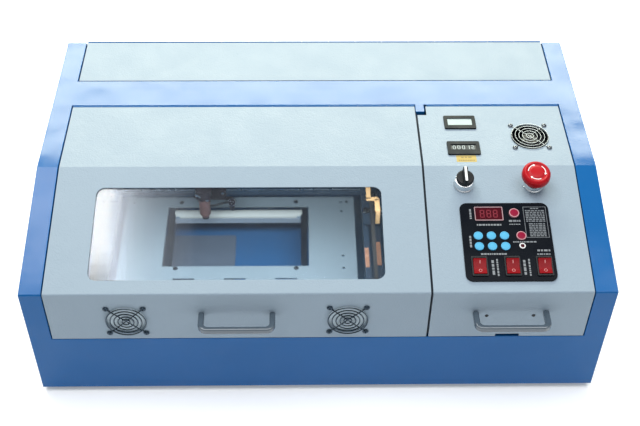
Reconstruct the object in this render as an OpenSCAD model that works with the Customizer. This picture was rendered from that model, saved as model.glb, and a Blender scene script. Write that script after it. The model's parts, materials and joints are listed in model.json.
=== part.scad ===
// Desktop laser cutter: steel case, three hinged lids, control panel, gantry and laser tube.
// X runs to the right, Y to the back and Z up. The origin is on the table, under the middle of the case.

/* [Case] */
// Width of the case
case_w = 800; // [790:5:840]
// Depth of the case
case_d = 500; // [500:5:530]
// Height of the case without its feet
case_h = 250; // [245:5:280]
// Depth of the sloping part of the lids
slope_d = 200; // [190:5:210]
// Drop of the sloping part
slope_drop = 48; // [30:1:50]
// Height of the front panel
front_h = 110; // [100:1:115]
// Thickness of the steel sheet
sheet = 1.5; // [1:0.1:2]
// Height of the rubber feet
foot_h = 10; // [6:1:20]
// Width of the fixed strip beside the lids
cheek_w = 30; // [24:1:34]

/* [Lids] */
// Gap between a lid and the strip beside it
lid_gap = 1.7; // [1:0.1:3]
// Right edge of the front lid
front_lid_right = 149; // [140:1:149]
// Left edge of the control lid
control_lid_left = 152; // [152:1:156]
// Depth of the folded edges of a lid
flange = 12; // [8:1:14]
// Width of the window opening
window_w = 400; // [300:5:400]
// Length of the window opening down the slope
window_l = 148; // [100:1:150]

/* [Handles] */
// Distance between the handle screws
handle_pitch = 96; // [80:1:110]
// Reach of a handle out from the lid
handle_reach = 32; // [28:1:36]

/* [Work bay] */
// Height of the bed plate above the case floor
bed_h = 60; // [50:1:64]
// Width of the opening in the bed plate
bed_opening_w = 226; // [200:1:230]
// Depth of the opening in the bed plate
bed_opening_d = 131; // [120:1:134]

/* [Exhaust] */
// Outside radius of the exhaust collar
collar_r = 49; // [40:0.5:52]

/* [Hidden] */
$fn = 48;
tiny = 0.01;
case_blue = [0.16, 0.33, 0.62];
lid_grey = [0.72, 0.80, 0.85];

half_w = case_w / 2;
front_y = -case_d / 2;
back_y = case_d / 2;
base_z = foot_h;
top_z = foot_h + case_h;
bend_y = front_y + slope_d;
slope_a = atan(slope_drop / slope_d);
inner_w = half_w - sheet;
cheek_edge = half_w - cheek_w;
fold_r = 3;
lid_edge = cheek_edge - lid_gap;
lid_low_z = base_z + front_h + 1;

// Hinges: barrels lie in the gaps, just under the top surface.
barrel_r = 1.7;
hinge_pin_r = 0.8;
hinge_fit = 0.05;
hinge_drop = 1.2;
leaf_t = 0.8;
leaf_l = 14;
knuckle_l = 43;
knuckle_gap = 0.4;
lid_hinge_y = back_y - 163.5;
lid_back_y = lid_hinge_y - 2.1;
crossbar_y = lid_hinge_y + 2.2;
crossbar_back = back_y - 101.5;
rear_lid_y = crossbar_back + 1;
rear_hinge_y = back_y + 2;
control_hinge_x = control_lid_left + 15.5;

// Tab of the crossbar, beside the control lid's notch.
tab_x = front_lid_right + 1;
tab_w = 13.5;
tab_y = lid_back_y - 12.4;
notch_w = 13.6;
notch_y = lid_back_y - 20.4;

// Window.
window_x = -111;
window_s = 35.7;
window_r = 12;
window_t = 2.5;

// Vents and wire guards.
vent_z = base_z + 149;
vent_x = [-262.5, 39];
vent_r = 27;
guard_pitch = 50;
wire_r = 0.9;
guard_rings = 5;

// Handles.
handle_z = base_z + 162;
handle_t = 9;
handle_leg = 8;
handle_bar = 7;
lid_handle_x = -111.4;
control_handle_x = 260.3;

// Finger notch under the control lid's edge: left and right ends.
finger_notch = [245, 278];

// Cooling fan in the control lid.
fan_x = 314;
fan_y = 13;
fan_size = 60;
fan_t = 15;
fan_bore_r = 27.5;
fan_blades = 7;
fan_pin_r = 1.5;

// Things on the slope: x and distance down the slope.
selector_x = 206.5;
selector_s = 32.5;
estop_x = 305;
estop_s = 33;
collar_out_r = 14.6;
stem_r = 10.8;
collar_bore_r = 8.1;
plunger_r = 8.05;
selector_collar_h = 13;
estop_collar_h = 10;
knob_r = 12.5;
knob_top = 20;
grip_top = 28.5;
mushroom_z = 18.8;
mushroom_h = 14.5;
mushroom_r = 20;
estop_shaft_r = 4;
plate_x = 259;
plate_s = 126.8;
plate_size = 124;
plate_t = 2;
plate_corner = 10;
plate_hole = 112;
button_r = 6.3;
button_fit = 0.15;
display = [236.8, 83.15, 35, 18];
laser_switch = [272.1, 82.7, 7.05];
test = [278.5, 118.7, 6.8];
lamp = [278.4, 134.8, 4.3];
button_x = [219.1, 237.1, 255.2];
button_s = [118.5, 135.3];
rocker_x = [216.9, 261.7, 305.1];
rocker_s = 166.4;
rocker_w = 17.4;
rocker_l = 24.8;
rocker_gap = 0.35;
rocker_rest = 9;

// Displays on the flat part of the control lid: centre x, centre y, width, depth.
thermo = [213.6, 45, 47, 29.5];
hours = [213.2, -13.2, 47.5, 28.6];

// Work bay.
bed_x = [-306, 62];
bed_y = [-135, 82];
bed_z = base_z + bed_h;
bed_t = 2;
opening_x = -125;
opening_y = -5.5;
jaw_y = 37;
rail_x = [-325, 85];
rail_w = 26;
rail_z = base_z + 78;
rail_t = 16;
beam_y = 62;
beam_d = 25;
beam_z = base_z + 98;
beam_t = 22;
head_x = -175;
head_y = 26;
lens_tube_r = 8.5;
nozzle_r = 5.5;
mirror_cap_r = 13;
shaft_y = 118;
shaft_z = rail_z + rail_t + 24;
shaft_r = 3;
pulley_r = 6.4;

// Tube bay.
tube_y = 200;
tube_z = base_z + 165;
tube_r = 25;
tube_l = 700;
clamp_x = [-230, 230];
wall_y = crossbar_back - 2.5;
supply = [[215, -60, base_z + sheet], [370, 130, base_z + 92]];
exhaust_x = -100;
exhaust_z = base_z + 70;
duct_wall = 2.5;
beam_hole_r = 12;
foot_r = 16;
foot_inset = 50;

// Rear fittings: the mains inlet and two outlets, each with its centre x, centre z, width and height.
sockets = [[300, base_z + 70, 26, 20], [230, base_z + 70, 22, 22], [180, base_z + 70, 22, 22]];
socket_wall = 4;
socket_depth = 20;
socket_floor = 3;
// Height of the hole behind each socket, where its cable goes into the case.
cable_hole_h = 24;
fitting_x = [-260, -300];
fitting_z = base_z + 60;

// Height of the sloping skin at a given depth.
function slope_z(y) = top_z - (bend_y - y) * tan(slope_a);

// Fold between the slope and the front face, set in by d: an arc, or a corner behind its centre.
function fold(d) = d < fold_r
    ? [for (i = [0 : 5]) [
        front_y + fold_r + (fold_r - d) * cos(90 + slope_a + i * (90 - slope_a) / 5),
        slope_z(front_y + fold_r) - fold_r / cos(slope_a)
            + (fold_r - d) * sin(90 + slope_a + i * (90 - slope_a) / 5)]]
    : [[front_y + d, slope_z(front_y + d) - d / cos(slope_a)]];

// Side view of a lid's skin, set in by d.
function skin_path(rear_y, low_z, d) = concat(
    [[rear_y, top_z - d], [bend_y + d * tan(slope_a / 2), top_z - d]],
    fold(d),
    [[front_y + d, low_z]]
);

function reversed(list) = [for (i = [len(list) - 1 : -1 : 0]) list[i]];

// Extrudes a side view (Y, Z) along X.
module along_x(x, w) {
    translate([x, 0, 0]) rotate([90, 0, 90]) linear_extrude(w) children();
}

// Puts local Z along the slope's outward normal, at a distance s down the slope.
module on_slope(x, s, h = 0) {
    translate([x, bend_y, top_z]) rotate([slope_a, 0, 0]) translate([0, -s, h]) children();
}

// Puts local Z outwards from the front face.
module on_front(x, z) {
    translate([x, front_y, z]) rotate([90, 0, 0]) children();
}

module box(low, high) {
    translate(low) cube(high - low);
}

module tube(r_out, r_in, h) {
    difference() {
        cylinder(r = r_out, h = h);
        translate([0, 0, -1]) cylinder(r = r_in, h = h + 2);
    }
}

module rounded_rect(w, l, r) {
    union() {
        square([w - 2 * r, l], center = true);
        square([w, l - 2 * r], center = true);
        for (i = [-1, 1], j = [-1, 1])
            translate([i * (w / 2 - r), j * (l / 2 - r)]) circle(r = r);
    }
}

module skin_band(rear_y, low_z, d0, d1) {
    polygon(concat(skin_path(rear_y, low_z, d0), reversed(skin_path(rear_y, low_z, d1))));
}

// A folded lid with top, slope and front faces and folded side edges.
module folded_lid(x0, x1) {
    along_x(x0, x1 - x0) skin_band(lid_back_y, lid_low_z, 0, sheet);
    for (x = [x0, x1 - sheet])
        along_x(x, sheet) skin_band(lid_back_y - leaf_l - 4, lid_low_z, sheet - tiny, flange);
    box([x0, front_y + sheet - tiny, lid_low_z], [x1, front_y + flange, lid_low_z + sheet]);
    box([x0 + 2, lid_back_y - leaf_l - 4, top_z - flange],
        [x1 - 2, lid_back_y - leaf_l - 4 + sheet, top_z - sheet + tiny]);
}

// Knuckles along X from x0 to x1: the even or the odd ones of a piano hinge.
module knuckles(x0, x1, y, z, odd) {
    count = floor((x1 - x0) / knuckle_l);
    step = (x1 - x0) / count;
    for (i = [odd : 2 : count - 1])
        translate([x0 + i * step + knuckle_gap / 2, y, z]) rotate([0, 90, 0])
            cylinder(r = barrel_r, h = step - knuckle_gap);
}

// Tongues that join a leaf to its knuckles.
module tongues(x0, x1, y0, y1, z0, z1, odd) {
    count = floor((x1 - x0) / knuckle_l);
    step = (x1 - x0) / count;
    for (i = [odd : 2 : count - 1])
        box([x0 + i * step + knuckle_gap / 2, y0, z0],
            [x0 + (i + 1) * step - knuckle_gap / 2, y1, z1]);
}

module hinge_bore(x0, x1, y, z, r) {
    translate([x0 - 1, y, z]) rotate([0, 90, 0]) cylinder(r = r, h = x1 - x0 + 2);
}

// Leaf under a lid in front of its hinge line.
module lid_leaf(x0, x1, hinge_y, back) {
    z = top_z - hinge_drop;
    leaf_z = top_z - sheet - leaf_t;
    difference() {
        union() {
            box([x0, back - leaf_l, leaf_z], [x1, back, leaf_z + leaf_t]);
            tongues(x0, x1, back - 1, hinge_y, leaf_z, leaf_z + leaf_t, 0);
            knuckles(x0, x1, hinge_y, z, 0);
        }
        hinge_bore(x0, x1, hinge_y, z, hinge_pin_r + hinge_fit);
    }
}

// Chrome wire guard in the plane z = 0, standing out along +Z.
module wire_guard() {
    ring_step = (guard_pitch / 2 + 2) / guard_rings;
    for (k = [1 : guard_rings])
        translate([0, 0, 3 * wire_r]) rotate_extrude() translate([k * ring_step, 0])
            circle(r = wire_r, $fn = 16);
    for (a = [45, 135])
        rotate([0, 0, a]) translate([-guard_pitch / sqrt(2) + 3, 0, 1.3 * wire_r]) rotate([0, 90, 0])
            cylinder(r = wire_r, h = guard_pitch * sqrt(2) - 6, $fn = 16);
    for (i = [-1, 1], j = [-1, 1])
        translate([i * guard_pitch / 2, j * guard_pitch / 2, wire_r]) rotate_extrude()
            translate([3.4, 0]) circle(r = wire_r, $fn = 16);
}

// Bow handle: local X along the bar, local Z outwards.
module bow_handle() {
    w = handle_pitch + handle_leg;
    translate([0, handle_t / 2, 0]) rotate([90, 0, 0]) linear_extrude(handle_t) difference() {
        union() {
            translate([-w / 2, 0]) square([w, handle_reach - 12]);
            translate([-w / 2 + 12, 0]) square([w - 24, handle_reach]);
            for (i = [-1, 1]) translate([i * (w / 2 - 12), handle_reach - 12]) circle(r = 12);
        }
        translate([-w / 2 + handle_leg, -1]) square([w - 2 * handle_leg, handle_reach - handle_bar - 5]);
        translate([-w / 2 + handle_leg + 6, -1])
            square([w - 2 * handle_leg - 12, handle_reach - handle_bar + 1]);
        for (i = [-1, 1])
            translate([i * (w / 2 - handle_leg - 6), handle_reach - handle_bar - 6]) circle(r = 6);
    }
}

// Case

module base_pan() {
    color(case_blue) box([-inner_w, front_y + sheet, base_z], [inner_w, back_y - sheet, base_z + sheet]);
}

module front_panel() {
    color(case_blue) {
        box([-inner_w, front_y, base_z], [inner_w, front_y + sheet, base_z + front_h]);
        box([-inner_w, front_y + sheet - tiny, base_z + front_h - sheet],
            [tab_x - 0.5, front_y + flange, base_z + front_h]);
        box([tab_x + 1.5, front_y + sheet - tiny, base_z + front_h - sheet],
            [inner_w, front_y + flange, base_z + front_h]);
    }
}

module side_sheet(x) {
    color(case_blue) along_x(x, sheet)
        polygon(concat([[back_y, base_z]], skin_path(back_y, base_z, 0)));
}

module left_side_panel() {
    side_sheet(-half_w);
}

module right_side_panel() {
    side_sheet(half_w - sheet);
}

module rear_panel() {
    color(case_blue) difference() {
        box([-inner_w, back_y - sheet, base_z], [inner_w, back_y, top_z - sheet - leaf_t - 0.3]);
        for (f = sockets)
            box([f[0] - f[2] / 2 - 1, back_y - sheet - 1, f[1] - cable_hole_h / 2],
                [f[0] + f[2] / 2 + 1, back_y + 1, f[1] + cable_hole_h / 2]);
        translate([exhaust_x, back_y + 1, exhaust_z]) rotate([90, 0, 0])
            cylinder(r = collar_r, h = sheet + 2);
    }
}

module top_frame() {
    color(case_blue) {
        for (side = [0, 1]) {
            x0 = side == 0 ? -inner_w : cheek_edge;
            along_x(x0, cheek_w - sheet) skin_band(back_y, base_z + front_h, 0, sheet);
            xf = side == 0 ? -cheek_edge - sheet : cheek_edge;
            along_x(xf, sheet) skin_band(back_y - sheet, base_z + front_h, sheet - tiny, flange);
        }
        box([-cheek_edge, crossbar_y, top_z - sheet], [cheek_edge, crossbar_back, top_z]);
        box([-cheek_edge, crossbar_y + leaf_l + 2, top_z - 2 * flange],
            [cheek_edge, crossbar_y + leaf_l + 2 + sheet, top_z - sheet + tiny]);
        box([tab_x, tab_y, top_z - sheet], [tab_x + tab_w, crossbar_y + tiny, top_z]);
        box([tab_x, tab_y, top_z - flange], [tab_x + tab_w, tab_y + sheet, top_z - sheet + tiny]);
    }
}

module tube_bay_wall() {
    color("lightsteelblue") difference() {
        box([-inner_w, wall_y, base_z + sheet], [inner_w, wall_y + sheet, top_z - sheet]);
        translate([exhaust_x, wall_y + sheet + 1, exhaust_z]) rotate([90, 0, 0])
            cylinder(r = collar_r - duct_wall, h = sheet + 2);
        translate([rail_x[0] - 20, wall_y + sheet + 1, beam_z + 30]) rotate([90, 0, 0])
            cylinder(r = beam_hole_r, h = sheet + 2);
        for (x = [-cheek_edge - sheet - 0.5, cheek_edge - 0.5])
            box([x, wall_y - 1, top_z - flange - 0.5], [x + sheet + 1, wall_y + sheet + 1, top_z]);
    }
}

module electronics_wall() {
    rear = tab_y - 1;
    color(case_blue) along_x(tab_x, 1)
        polygon(concat([[wall_y, top_z - 2.5 * flange], [rear, top_z - 2.5 * flange]],
            skin_path(rear, base_z + sheet, 2), [[wall_y, base_z + sheet]]));
}

module rubber_feet() {
    color([0.08, 0.08, 0.08]) for (i = [-1, 1], j = [-1, 1])
        translate([i * (half_w - foot_inset), j * (back_y - foot_inset), 0]) cylinder(r = foot_r, h = foot_h);
}

// A surface-mounted socket: a block on the back with one square pocket.
module socket(f) {
    translate([f[0], back_y, f[1]]) rotate([-90, 0, 0]) difference() {
        linear_extrude(socket_depth) rounded_rect(f[2] + 2 * socket_wall, f[3] + 2 * socket_wall, 2);
        translate([0, 0, socket_floor]) linear_extrude(socket_depth) square([f[2], f[3]], center = true);
    }
}

module rear_fittings() {
    color([0.1, 0.1, 0.1]) for (f = sockets) socket(f);
    color("silver") for (x = fitting_x)
        translate([x, back_y, fitting_z]) rotate([-90, 0, 0]) {
            cylinder(r = 8, h = 4, $fn = 6);
            translate([0, 0, 4 - tiny]) cylinder(r = 4, h = 18);
            for (k = [0 : 2]) translate([0, 0, 8 + 5 * k]) cylinder(r = 4.8, h = 2.4);
        }
}

module exhaust_outlet() {
    color("gainsboro") translate([exhaust_x, wall_y + sheet, exhaust_z]) rotate([-90, 0, 0]) {
        tube(collar_r - tiny, collar_r - duct_wall, back_y + handle_reach - wall_y - sheet);
        translate([0, 0, back_y - wall_y - sheet]) difference() {
            linear_extrude(2.5) rounded_rect(2 * collar_r + 24, 2 * collar_r + 24, 8);
            translate([0, 0, -1]) cylinder(r = collar_r - duct_wall, h = 5);
            for (i = [-1, 1], j = [-1, 1])
                translate([i * collar_r, j * collar_r, -1]) cylinder(r = 2.2, h = 5);
        }
    }
}

// Hinges

module hinge_frame_leaves() {
    leaf_z = top_z - sheet - leaf_t;
    z = top_z - hinge_drop;
    color(case_blue) {
        for (span = [[-lid_edge, front_lid_right], [control_hinge_x, lid_edge]])
            difference() {
                union() {
                    box([span[0], crossbar_y, leaf_z], [span[1], crossbar_y + leaf_l, leaf_z + leaf_t]);
                    tongues(span[0], span[1], lid_hinge_y, crossbar_y + 1, leaf_z, leaf_z + leaf_t, 1);
                    knuckles(span[0], span[1], lid_hinge_y, z, 1);
                }
                hinge_bore(span[0], span[1], lid_hinge_y, z, hinge_pin_r);
            }
        difference() {
            union() {
                box([-lid_edge, back_y, top_z - leaf_l], [lid_edge, back_y + leaf_t, top_z - 3.4]);
                tongues(-lid_edge, lid_edge, back_y, back_y + leaf_t, top_z - 3.5, z, 1);
                knuckles(-lid_edge, lid_edge, rear_hinge_y, z, 1);
            }
            hinge_bore(-lid_edge, lid_edge, rear_hinge_y, z, hinge_pin_r);
        }
    }
}

module hinge_pins() {
    z = top_z - hinge_drop;
    color("silver") {
        for (p = [[-lid_edge, front_lid_right, lid_hinge_y], [control_hinge_x, lid_edge, lid_hinge_y],
                [-lid_edge, lid_edge, rear_hinge_y]])
            translate([p[0], p[2], z]) rotate([0, 90, 0]) cylinder(r = hinge_pin_r, h = p[1] - p[0]);
    }
}

// Work bay

module bed_plate() {
    color("lightgrey") difference() {
        box([bed_x[0], bed_y[0], bed_z], [bed_x[1], bed_y[1], bed_z + bed_t]);
        translate([opening_x, opening_y, bed_z + bed_t / 2])
            cube([bed_opening_w, bed_opening_d, bed_t + 2], center = true);
        for (x = [-203, -125, -47])
            translate([x, -97.5, bed_z + bed_t / 2]) cube([33, 3, bed_t + 2], center = true);
        for (y = [70, 48, -50, -76])
            translate([41, y, bed_z - 1]) cylinder(r = 2.2, h = bed_t + 2);
    }
}

module bed_studs() {
    color("silver") for (x = [bed_x[0] + 12, bed_x[1] - 12], y = [bed_y[0] + 12, bed_y[1] - 12])
        translate([x, y, base_z + sheet]) cylinder(r = 4, h = bed_z - base_z - sheet);
}

module clamp_rails() {
    color([0.35, 0.37, 0.4]) for (i = [-1, 1]) {
        x = opening_x + i * (bed_opening_w / 2 - 7.5);
        face = x - 5 * i;
        difference() {
            box([x - 5, bed_y[0] + 45, bed_z - 14], [x + 5, bed_y[1] - 8, bed_z]);
            box([face - 2.5, bed_y[0] + 50, bed_z - 10], [face + 2.5, bed_y[1] - 13, bed_z - 5.4]);
        }
    }
}

// Angle bar across the opening: its tongues run in the grooves of the clamp rails.
module clamp_jaw() {
    jaw = bed_opening_w / 2 - 14;
    color("silver") {
        box([opening_x - jaw, jaw_y, bed_z - 1.5], [opening_x + jaw, jaw_y + 20, bed_z + 1]);
        box([opening_x - jaw, jaw_y - 2, bed_z - 11], [opening_x + jaw, jaw_y + tiny, bed_z + 1]);
        for (i = [-1, 1]) {
            x = opening_x + i * jaw;
            box([min(x, x - 8 * i), jaw_y + 3, bed_z - 9.7], [max(x, x - 8 * i), jaw_y + 17, bed_z - 1.4]);
            box([x - 3.4, jaw_y + 3, bed_z - 9.7], [x + 3.4, jaw_y + 17, bed_z - 5.7]);
        }
    }
}

module y_rails() {
    color([0.12, 0.12, 0.13]) for (x = rail_x) difference() {
        union() {
            box([x - rail_w / 2, front_y + sheet, rail_z], [x + rail_w / 2, wall_y, rail_z + rail_t]);
            box([x - 12, shaft_y - 9, rail_z + rail_t - tiny], [x - 8, shaft_y + 9, shaft_z + 9]);
        }
        box([x - 4, front_y - 1, rail_z + rail_t - 5], [x + 4, wall_y + 1, rail_z + rail_t + 1]);
        translate([x - 13, shaft_y, shaft_z]) rotate([0, 90, 0]) cylinder(r = shaft_r + hinge_fit, h = 6);
    }
}

module y_motor() {
    color([0.1, 0.1, 0.1]) difference() {
        union() {
            translate([rail_x[1] + 15, shaft_y, shaft_z]) rotate([0, 90, 0])
                linear_extrude(38) rounded_rect(42, 42, 4);
            box([rail_x[1] + 13, shaft_y - 21, rail_z + 2], [rail_x[1] + 15 + tiny, wall_y, shaft_z + 21]);
        }
        translate([rail_x[1] + 12, shaft_y, shaft_z]) rotate([0, 90, 0]) cylinder(r = 9, h = 6);
    }
}

module y_drive_shaft() {
    color("silver") translate([0, shaft_y, shaft_z]) rotate([0, 90, 0]) {
        translate([0, 0, rail_x[0] - 14]) cylinder(r = shaft_r, h = rail_x[1] - rail_x[0] + 30);
        for (x = rail_x) translate([0, 0, x - 4]) {
            cylinder(r = pulley_r, h = 8);
            cylinder(r = pulley_r + 2, h = 1);
            translate([0, 0, 7]) cylinder(r = pulley_r + 2, h = 1);
        }
    }
}

module gantry_beam() {
    color([0.14, 0.14, 0.15]) {
        difference() {
            box([rail_x[0] - 10, beam_y - beam_d / 2, beam_z],
                [rail_x[1] + 10, beam_y + beam_d / 2, beam_z + beam_t]);
            box([rail_x[0] + 20, beam_y - beam_d / 2 - 1, beam_z + 8],
                [rail_x[1] - 14, beam_y - beam_d / 2 + 6, beam_z + 14]);
        }
        for (x = rail_x)
            box([x - 12, beam_y - 24, beam_z - 3], [x + 12, beam_y + 24, beam_z + tiny]);
        for (x = rail_x, y = [-17, 17])
            translate([x - 3.5, beam_y + y, rail_z + rail_t + 1]) rotate([0, 90, 0]) cylinder(r = 5.5, h = 7);
    }
}

module x_motor() {
    color([0.1, 0.1, 0.1]) translate([rail_x[0] + 24, beam_y + beam_d / 2 + 2, beam_z + 21])
        rotate([-90, 0, 0]) linear_extrude(26) rounded_rect(42, 42, 4);
    color([0.1, 0.1, 0.1]) box([rail_x[0] + 6, beam_y + beam_d / 2, beam_z],
        [rail_x[0] + 42, beam_y + beam_d / 2 + 2 + tiny, beam_z + 40]);
}

module laser_head() {
    face = beam_y - beam_d / 2 - 0.6;
    left = head_x - 14;
    right = head_x + 32;
    color([0.15, 0.15, 0.16]) {
        box([left, face - 4, beam_z - 6], [right, face, beam_z + beam_t + 18]);
        box([left, face - 0.1, beam_z + beam_t + 0.6], [right, beam_y + beam_d / 2 - 1, beam_z + beam_t + 4]);
        box([head_x - 10, head_y - 6, beam_z + 14], [head_x + 10, face - 4 + tiny, beam_z + beam_t]);
    }
    color([0.2, 0.14, 0.12]) translate([head_x, head_y - 4, 0]) {
        translate([0, 0, bed_z + 26]) cylinder(r = lens_tube_r, h = beam_z + beam_t - bed_z - 20);
        translate([0, 0, bed_z + 16]) cylinder(r = nozzle_r, h = 11);
        translate([0, 0, beam_z + beam_t + 5]) cylinder(r = mirror_cap_r, h = 14);
    }
}

module laser_tube() {
    color([0.85, 0.9, 0.95, 0.6]) translate([-tube_l / 2, tube_y, tube_z]) rotate([0, 90, 0]) {
        cylinder(r = tube_r, h = tube_l);
        translate([0, 0, -14]) cylinder(r = 12, h = 15);
        translate([0, 0, tube_l - 1]) cylinder(r = 12, h = 15);
    }
}

module tube_clamps() {
    color([0.3, 0.3, 0.32]) for (x = clamp_x) difference() {
        union() {
            box([x - 10, wall_y + sheet, tube_z - 34], [x + 10, tube_y + 34, tube_z]);
            translate([x - 10, tube_y, tube_z]) rotate([0, 90, 0]) cylinder(r = tube_r + 3, h = 20);
        }
        translate([x - 11, tube_y, tube_z]) rotate([0, 90, 0]) cylinder(r = tube_r, h = 22);
    }
}

module laser_power_supply() {
    color("silver") {
        difference() {
            box(supply[0], supply[1]);
            box(supply[0] + [1.2, 1.2, 1.2], supply[1] - [1.2, 1.2, 1.2]);
            for (k = [0 : 7]) translate(supply[0] + [-1, 12 + 21 * k, 28]) cube([3, 12, 4]);
        }
    }
}

module controller_board() {
    color([0.05, 0.35, 0.2]) box([tab_x + 6, -170, base_z + 30], [tab_x + 7.6, -50, base_z + 110]);
    color([0.1, 0.1, 0.1]) for (y = [-160, -130, -100, -75], z = [40, 75])
        box([tab_x + 7.6 - tiny, y, base_z + z], [tab_x + 16, y + 16, base_z + z + 20]);
    color("silver") for (y = [-165, -55], z = [35, 105])
        translate([tab_x + 1, y, base_z + z]) rotate([0, 90, 0]) cylinder(r = 2.5, h = 5);
}

// Front lid

module front_lid() {
    color(lid_grey) difference() {
        folded_lid(-lid_edge, front_lid_right);
        on_slope(window_x, window_s + window_l / 2, -sheet - 1) linear_extrude(sheet + 2)
            rounded_rect(window_w, window_l, window_r);
        for (x = vent_x)
            on_front(x, vent_z) translate([0, 0, -sheet - 1]) cylinder(r = vent_r, h = sheet + 2);
    }
}

module front_lid_leaf() {
    color(case_blue) lid_leaf(-lid_edge, front_lid_right, lid_hinge_y, lid_back_y);
}

module lid_window() {
    color([0.7, 0.75, 0.8, 0.35]) on_slope(window_x, window_s + window_l / 2, -sheet - window_t)
        linear_extrude(window_t) rounded_rect(window_w + 20, window_l + 20, 4);
}

module lid_handle() {
    color("silver") on_front(lid_handle_x, handle_z) bow_handle();
}

module lid_vent_guards() {
    color("silver") for (x = vent_x) on_front(x, vent_z) wire_guard();
}

// Rear lid

module rear_lid() {
    color(lid_grey) {
        box([-lid_edge, rear_lid_y, top_z - sheet], [lid_edge, back_y - 0.1, top_z]);
        box([-lid_edge, rear_lid_y, top_z - flange], [lid_edge, rear_lid_y + sheet, top_z - sheet + tiny]);
        for (x = [-lid_edge, lid_edge - sheet])
            box([x, rear_lid_y, top_z - flange], [x + sheet, back_y - leaf_l - 2, top_z - sheet + tiny]);
    }
}

module rear_lid_leaf() {
    color(case_blue) lid_leaf(-lid_edge, lid_edge, rear_hinge_y, back_y - 0.1);
}

// Control lid

module control_lid() {
    color(lid_grey) difference() {
        folded_lid(control_lid_left, lid_edge);
        box([control_lid_left - 1, notch_y, top_z - flange - 1],
            [control_lid_left + notch_w, lid_back_y + 1, top_z + 1]);
        box([finger_notch[0], front_y - 1, lid_low_z - 1],
            [finger_notch[1], front_y + flange + 1, lid_low_z + 5]);
        for (d = [thermo, hours])
            box([d[0] - d[2] / 2 + 3, d[1] - d[3] / 2 + 3, top_z - sheet - 1],
                [d[0] + d[2] / 2 - 3, d[1] + d[3] / 2 - 3, top_z + 1]);
        translate([fan_x, fan_y, top_z - sheet - 1]) cylinder(r = fan_bore_r, h = sheet + 2);
        on_slope(selector_x, selector_s, -sheet - 1) cylinder(r = stem_r + 0.4, h = sheet + 2);
        on_slope(estop_x, estop_s, -sheet - 1) cylinder(r = stem_r + 0.4, h = sheet + 2);
        on_slope(plate_x, plate_s, -sheet - 1) linear_extrude(sheet + 2)
            square(plate_hole, center = true);
    }
}

module control_lid_leaf() {
    color(case_blue) lid_leaf(control_hinge_x, lid_edge, lid_hinge_y, lid_back_y);
}

module control_handle() {
    color("silver") on_front(control_handle_x, handle_z) bow_handle();
}

// Panel instrument with a raised bezel, a sunk face and a body behind the lid.
module panel_instrument(d, window_d, window_offset) {
    translate([d[0], d[1], top_z]) difference() {
        union() {
            linear_extrude(2.5) rounded_rect(d[2], d[3], 2);
            translate([0, 0, -24]) linear_extrude(24 + tiny) square([d[2] - 6.4, d[3] - 6.4], center = true);
        }
        translate([0, window_offset, 1.2]) linear_extrude(2) square([d[2] - 10, window_d], center = true);
    }
}

module temperature_display() {
    color([0.18, 0.23, 0.24]) panel_instrument(thermo, 15.5, 0.7);
}

module hour_counter() {
    color([0.18, 0.23, 0.24]) panel_instrument(hours, 11, 2);
}

// Bezel ring, threaded body and nut of a 22 mm switch.
module switch_collar(x, s, h) {
    on_slope(x, s) difference() {
        union() {
            cylinder(r = collar_out_r, h = 3);
            cylinder(r = collar_out_r - 1.2, h = h);
            translate([0, 0, -14]) cylinder(r = stem_r, h = 15);
            translate([0, 0, -sheet - 5]) cylinder(r = 15, h = 5, $fn = 6);
        }
        translate([0, 0, -15]) cylinder(r = collar_bore_r, h = h + 20);
    }
}

module switch_collars() {
    color("silver") {
        switch_collar(selector_x, selector_s, selector_collar_h);
        switch_collar(estop_x, estop_s, estop_collar_h);
    }
}

module selector_knob() {
    color([0.06, 0.06, 0.06]) on_slope(selector_x, selector_s) {
        translate([0, 0, -12]) cylinder(r = plunger_r, h = selector_collar_h + 13);
        translate([0, 0, selector_collar_h + 0.3])
            cylinder(r = knob_r, h = knob_top - selector_collar_h - 0.3);
        translate([-3.4, -13, knob_top - 1]) cube([6.8, 26, grip_top - knob_top + 1]);
    }
}

module estop_stem() {
    color([0.75, 0.75, 0.72]) on_slope(estop_x, estop_s) difference() {
        translate([0, 0, -12]) cylinder(r = plunger_r, h = 12 + mushroom_z - 0.3);
        translate([0, 0, mushroom_z - 11]) cylinder(r = estop_shaft_r + hinge_fit, h = 12);
    }
}

module estop_head() {
    color([0.8, 0.08, 0.1]) on_slope(estop_x, estop_s) {
        translate([0, 0, mushroom_z - 9.5]) cylinder(r = estop_shaft_r, h = 12);
        translate([0, 0, mushroom_z]) rotate_extrude() union() {
            square([mushroom_r - 2.5, mushroom_h]);
            translate([0, 2]) square([mushroom_r, mushroom_h - 7.5]);
            translate([mushroom_r - 2.5, mushroom_h - 5.5]) circle(r = 2.5, $fn = 24);
        }
    }
}

module fan_frame() {
    color([0.08, 0.08, 0.09]) translate([fan_x, fan_y, top_z - sheet - fan_t]) {
        difference() {
            linear_extrude(fan_t) rounded_rect(fan_size, fan_size, 4);
            translate([0, 0, -1]) cylinder(r = fan_bore_r, h = fan_t + 2);
            for (i = [-1, 1], j = [-1, 1])
                translate([i * guard_pitch / 2, j * guard_pitch / 2, -1]) cylinder(r = 2, h = fan_t + 2);
        }
        cylinder(r = 12, h = 2.5);
        for (a = [45 : 90 : 315])
            rotate([0, 0, a]) translate([10, -1.5, 0]) cube([fan_bore_r - 9, 3, 2]);
        cylinder(r = fan_pin_r, h = fan_t - 4);
    }
}

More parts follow.
